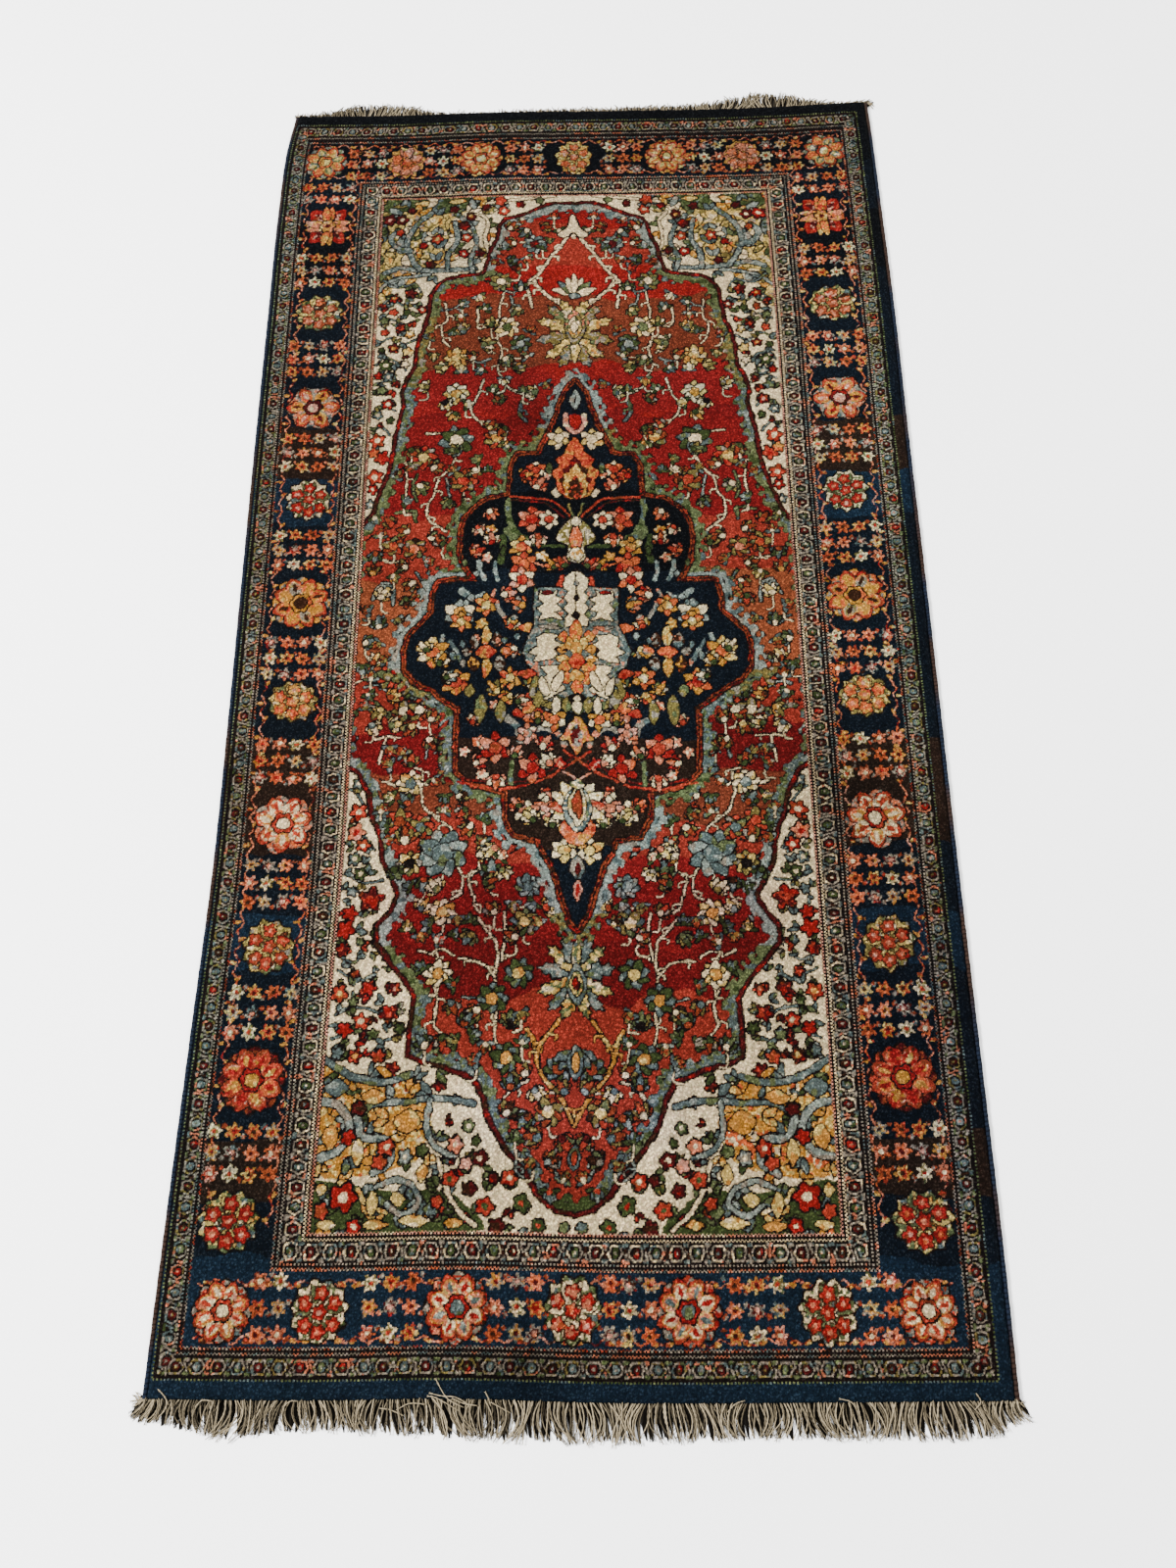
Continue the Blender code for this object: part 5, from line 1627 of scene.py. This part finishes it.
def twisted_strand(path, thickness, tone, twist_start, plies=2):
    """Two plies twisted round each other along a path in mm, apart at the cut tip, or one flat matted lock
    that is also painted shadow.

    Gives vertices, faces and tones.
    """
    line = curve_through(path[:, :2], steps=6)
    heights = np.interp(np.linspace(0, 1, len(line)), np.linspace(0, 1, len(path)), path[:, 2])
    line = np.column_stack([line, heights])
    lengths = length_along(line)
    rings = int(np.clip(3 + lengths[-1] / 4, 4, MOST_RINGS)) if plies > 1 else LOCK_RINGS
    share = np.linspace(0, 1, rings)
    travelled = share * lengths[-1]
    centre = np.column_stack([np.interp(travelled, lengths, line[:, k]) for k in range(3)])
    forward = np.gradient(centre, axis=0)
    forward /= np.linalg.norm(forward, axis=1)[:, None] + 1e-9
    side = np.cross(forward, [0.0, 0.0, 1.0])
    side /= np.linalg.norm(side, axis=1)[:, None] + 1e-9
    lift = np.cross(side, forward)
    taper = 1 - (0.35 if plies > 1 else 0.85) * share**2
    points, faces = [], []
    around = np.linspace(0, 2 * np.pi, PLY_SIDES, endpoint=False)
    turning, flatness = (1.0, 1.0) if plies > 1 else (0.0, LOCK_FLATNESS)
    for ply in range(plies):
        phase = twist_start + np.pi * ply + 2 * np.pi * travelled / TWIST_PITCH
        apart = turning * thickness * (0.27 + 0.22 * np.clip(share - 0.8, 0, 1) * 5)
        middle = centre + apart[:, None] * (np.cos(phase)[:, None] * side + np.sin(phase)[:, None] * lift)
        radius = 0.31 * thickness * taper
        ring = middle[:, None] + radius[:, None, None] * (
            np.cos(around)[:, None] * side[:, None] + flatness * np.sin(around)[:, None] * lift[:, None])
        faces += tube_faces(rings, PLY_SIDES, base=len(points) * rings * PLY_SIDES)
        points.append(ring.reshape(-1, 3))
    points = np.vstack(points)
    points[:, 2] = np.maximum(points[:, 2], 0.25)
    return points, faces, np.full(len(points), tone)


def end_place(end, across_mm):
    """Where a fringe strand starts along an end, and which way is outward."""
    across = np.clip((across_mm - SIDE_INSET) / PILE_WIDTH, 0, 1)
    outward = -1 if end == "front" else 1
    x, y = rug_place(across, np.float64(0.0 if end == "front" else 1.0))
    return float(x + (across_mm - SIDE_INSET - across * PILE_WIDTH)), float(y), outward


def fringe_paths(end, rows):
    """Paths of the strands of one end, from the bottom layer to the top, each with its thickness and tone."""
    draw = cotton_worker
    sway = draw.uniform(0, 2 * np.pi, 2)
    for layer, (low, high, tone) in enumerate(FRINGE_LAYERS):
        for number in range(STRANDS_IN_LAYER):
            across = (number + 0.2 + 0.25 * layer + draw.uniform(-0.4, 0.4)) / STRANDS_IN_LAYER
            across = min(max(across, 0.004), 0.996)
            reach = max(smooth_table(rows, 1, across) + draw.normal(0, 2.0) - 1.2 * (3 - layer), 3.5)
            together = 0.22 * math.sin(across * 43 + sway[0]) + 0.13 * math.sin(across * 107 + sway[1])
            lean = smooth_table(rows, 2, across) + reach * (together + draw.normal(0, 0.17))
            hook = reach * (0.16 * math.sin(across * 61 + sway[1]) + draw.normal(0, 0.08))
            x, y, outward = end_place(end, RUG_WIDTH * across)
            height = draw.uniform(low, high)
            share = np.array([0.0, 0.35, 0.7, 1.0])
            path = np.column_stack([
                x + lean * share**1.3 + hook * np.sin(np.pi * share),
                y + outward * (-ROOT_DEPTH + (reach + ROOT_DEPTH) * share * (1 - 0.06 * share)),
                [height + 1.0, height + 0.5 * layer + 0.2, height + 0.1, max(0.8, height - 0.8)],
            ])
            yield path, draw.uniform(1.5, 2.2), tone * draw.uniform(0.2, 1.25), 2
    # Matted locks, nearly black: matted short ends, and painted shadow under and between the strands above
    for number in range(MATTED_SHADOW_LOCKS):
        across = (number + 0.5) / MATTED_SHADOW_LOCKS
        reach = max(0.9 * smooth_table(rows, 1, across) + draw.normal(0, 1.5), 3.0)
        lean = smooth_table(rows, 2, across) + draw.normal(0, 0.1 * reach)
        x, y, outward = end_place(end, RUG_WIDTH * across)
        share = np.array([0.0, 0.5, 1.0])
        path = np.column_stack([
            x + lean * share,
            y + outward * (reach + ROOT_DEPTH) * share - outward * ROOT_DEPTH,
            [1.5, 0.8, 0.6],
        ])
        yield path, draw.uniform(13.0, 17.0), draw.uniform(0.0, 0.015), 1
    for where, start, to_side, outwards in CORNER_STRANDS:
        if where == end:
            x, y, outward = end_place(end, start)
            bend = draw.uniform(-1.5, 1.5)
            away = abs(outwards) * (1 if outward * outwards > 0 else -1)
            path = np.array([
                [x, y - outward * 1.2, 3.6],
                [x + 0.45 * to_side, y + outward * (0.3 * away + 1.5) + bend, 3.4],
                [x + 0.8 * to_side, y + outward * 0.75 * away, 2.4],
                [x + to_side, y + outward * away, 1.3],
            ])
            yield path, draw.uniform(1.8, 2.3), draw.uniform(0.6, 1.0), 2
    if end == "front":
        for points in STRAYS:
            across, reach = np.array(points, float).T
            places = [end_place(end, value) for value in across]
            height = np.where(reach > -5.5, PILE_HEIGHT + 1.3, 4.0 + 5.0 * np.clip((reach + 16) / 11, 0, 1))
            path = np.column_stack([[p[0] for p in places], [p[1] for p in places] + (reach + 4), height])
            yield path, 1.5, draw.uniform(0.95, 1.2), 2


def make_cotton_material():
    """Undyed cotton: off-white on top and grey-brown underneath, where the dark is painted shade, in soft
    fibres along each ply.
    """
    material, tree, wool = fibre_material("undyed_cotton_strands", 0.9, 0.03, 0.7, 0.5)
    tone = add_node(tree, "ShaderNodeAttribute", attribute_name="strand_tone_and_shade").outputs["Fac"]
    # Painted shade: low tones run to nearly black, for the lower layers and the matted locks
    dull = mixed(tree, tone, (0.0015, 0.0011, 0.0008, 1), (0.205, 0.166, 0.104, 1))
    tree.links.new(dull, wool.inputs["Colour"])
    return material


def build_fringe(end, rows, material):
    points, faces, tones = [], [], []
    count = 0
    for path, thickness, tone, plies in fringe_paths(end, rows):
        start = cotton_worker.uniform(0, 2 * np.pi)
        new_points, new_faces, new_tones = twisted_strand(path, thickness, tone, start, plies)
        points.append(new_points)
        faces += [[count + index for index in face] for face in new_faces]
        tones.append(new_tones)
        count += len(new_points)
    points = np.vstack(points)
    mesh = bpy.data.meshes.new(f"fringe_{end}_strands")
    mesh.from_pydata(to_frame(points[:, 0], points[:, 1], points[:, 2]).tolist(), [], faces)
    mesh.attributes.new("strand_tone_and_shade", "FLOAT", "POINT").data.foreach_set("value", np.concatenate(tones))
    mesh.materials.append(material)
    mesh.shade_smooth()
    fringe = bpy.data.objects.new(mesh.name, mesh)
    bpy.context.scene.collection.objects.link(fringe)
    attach(fringe, "root")
    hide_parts(f"fringe_{end}")
    return fringe


cotton = make_cotton_material()
front_fringe = build_fringe("front", FRONT_FRINGE, cotton)
back_fringe = build_fringe("back", BACK_FRINGE, cotton)


# Laid rug: one cloth of wool pile on a cotton foundation, laid flat on the floor and not fixed. Each panel of
# the pile is paired with the fringes of its end, if any, and nothing more is done with them.
def declare_panels():
    for number, panel in enumerate(pile_panels):
        fringe = {0: [front_fringe], PANELS - 1: [back_fringe]}.get(number, [])
        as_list(fringe)


declare_panels()
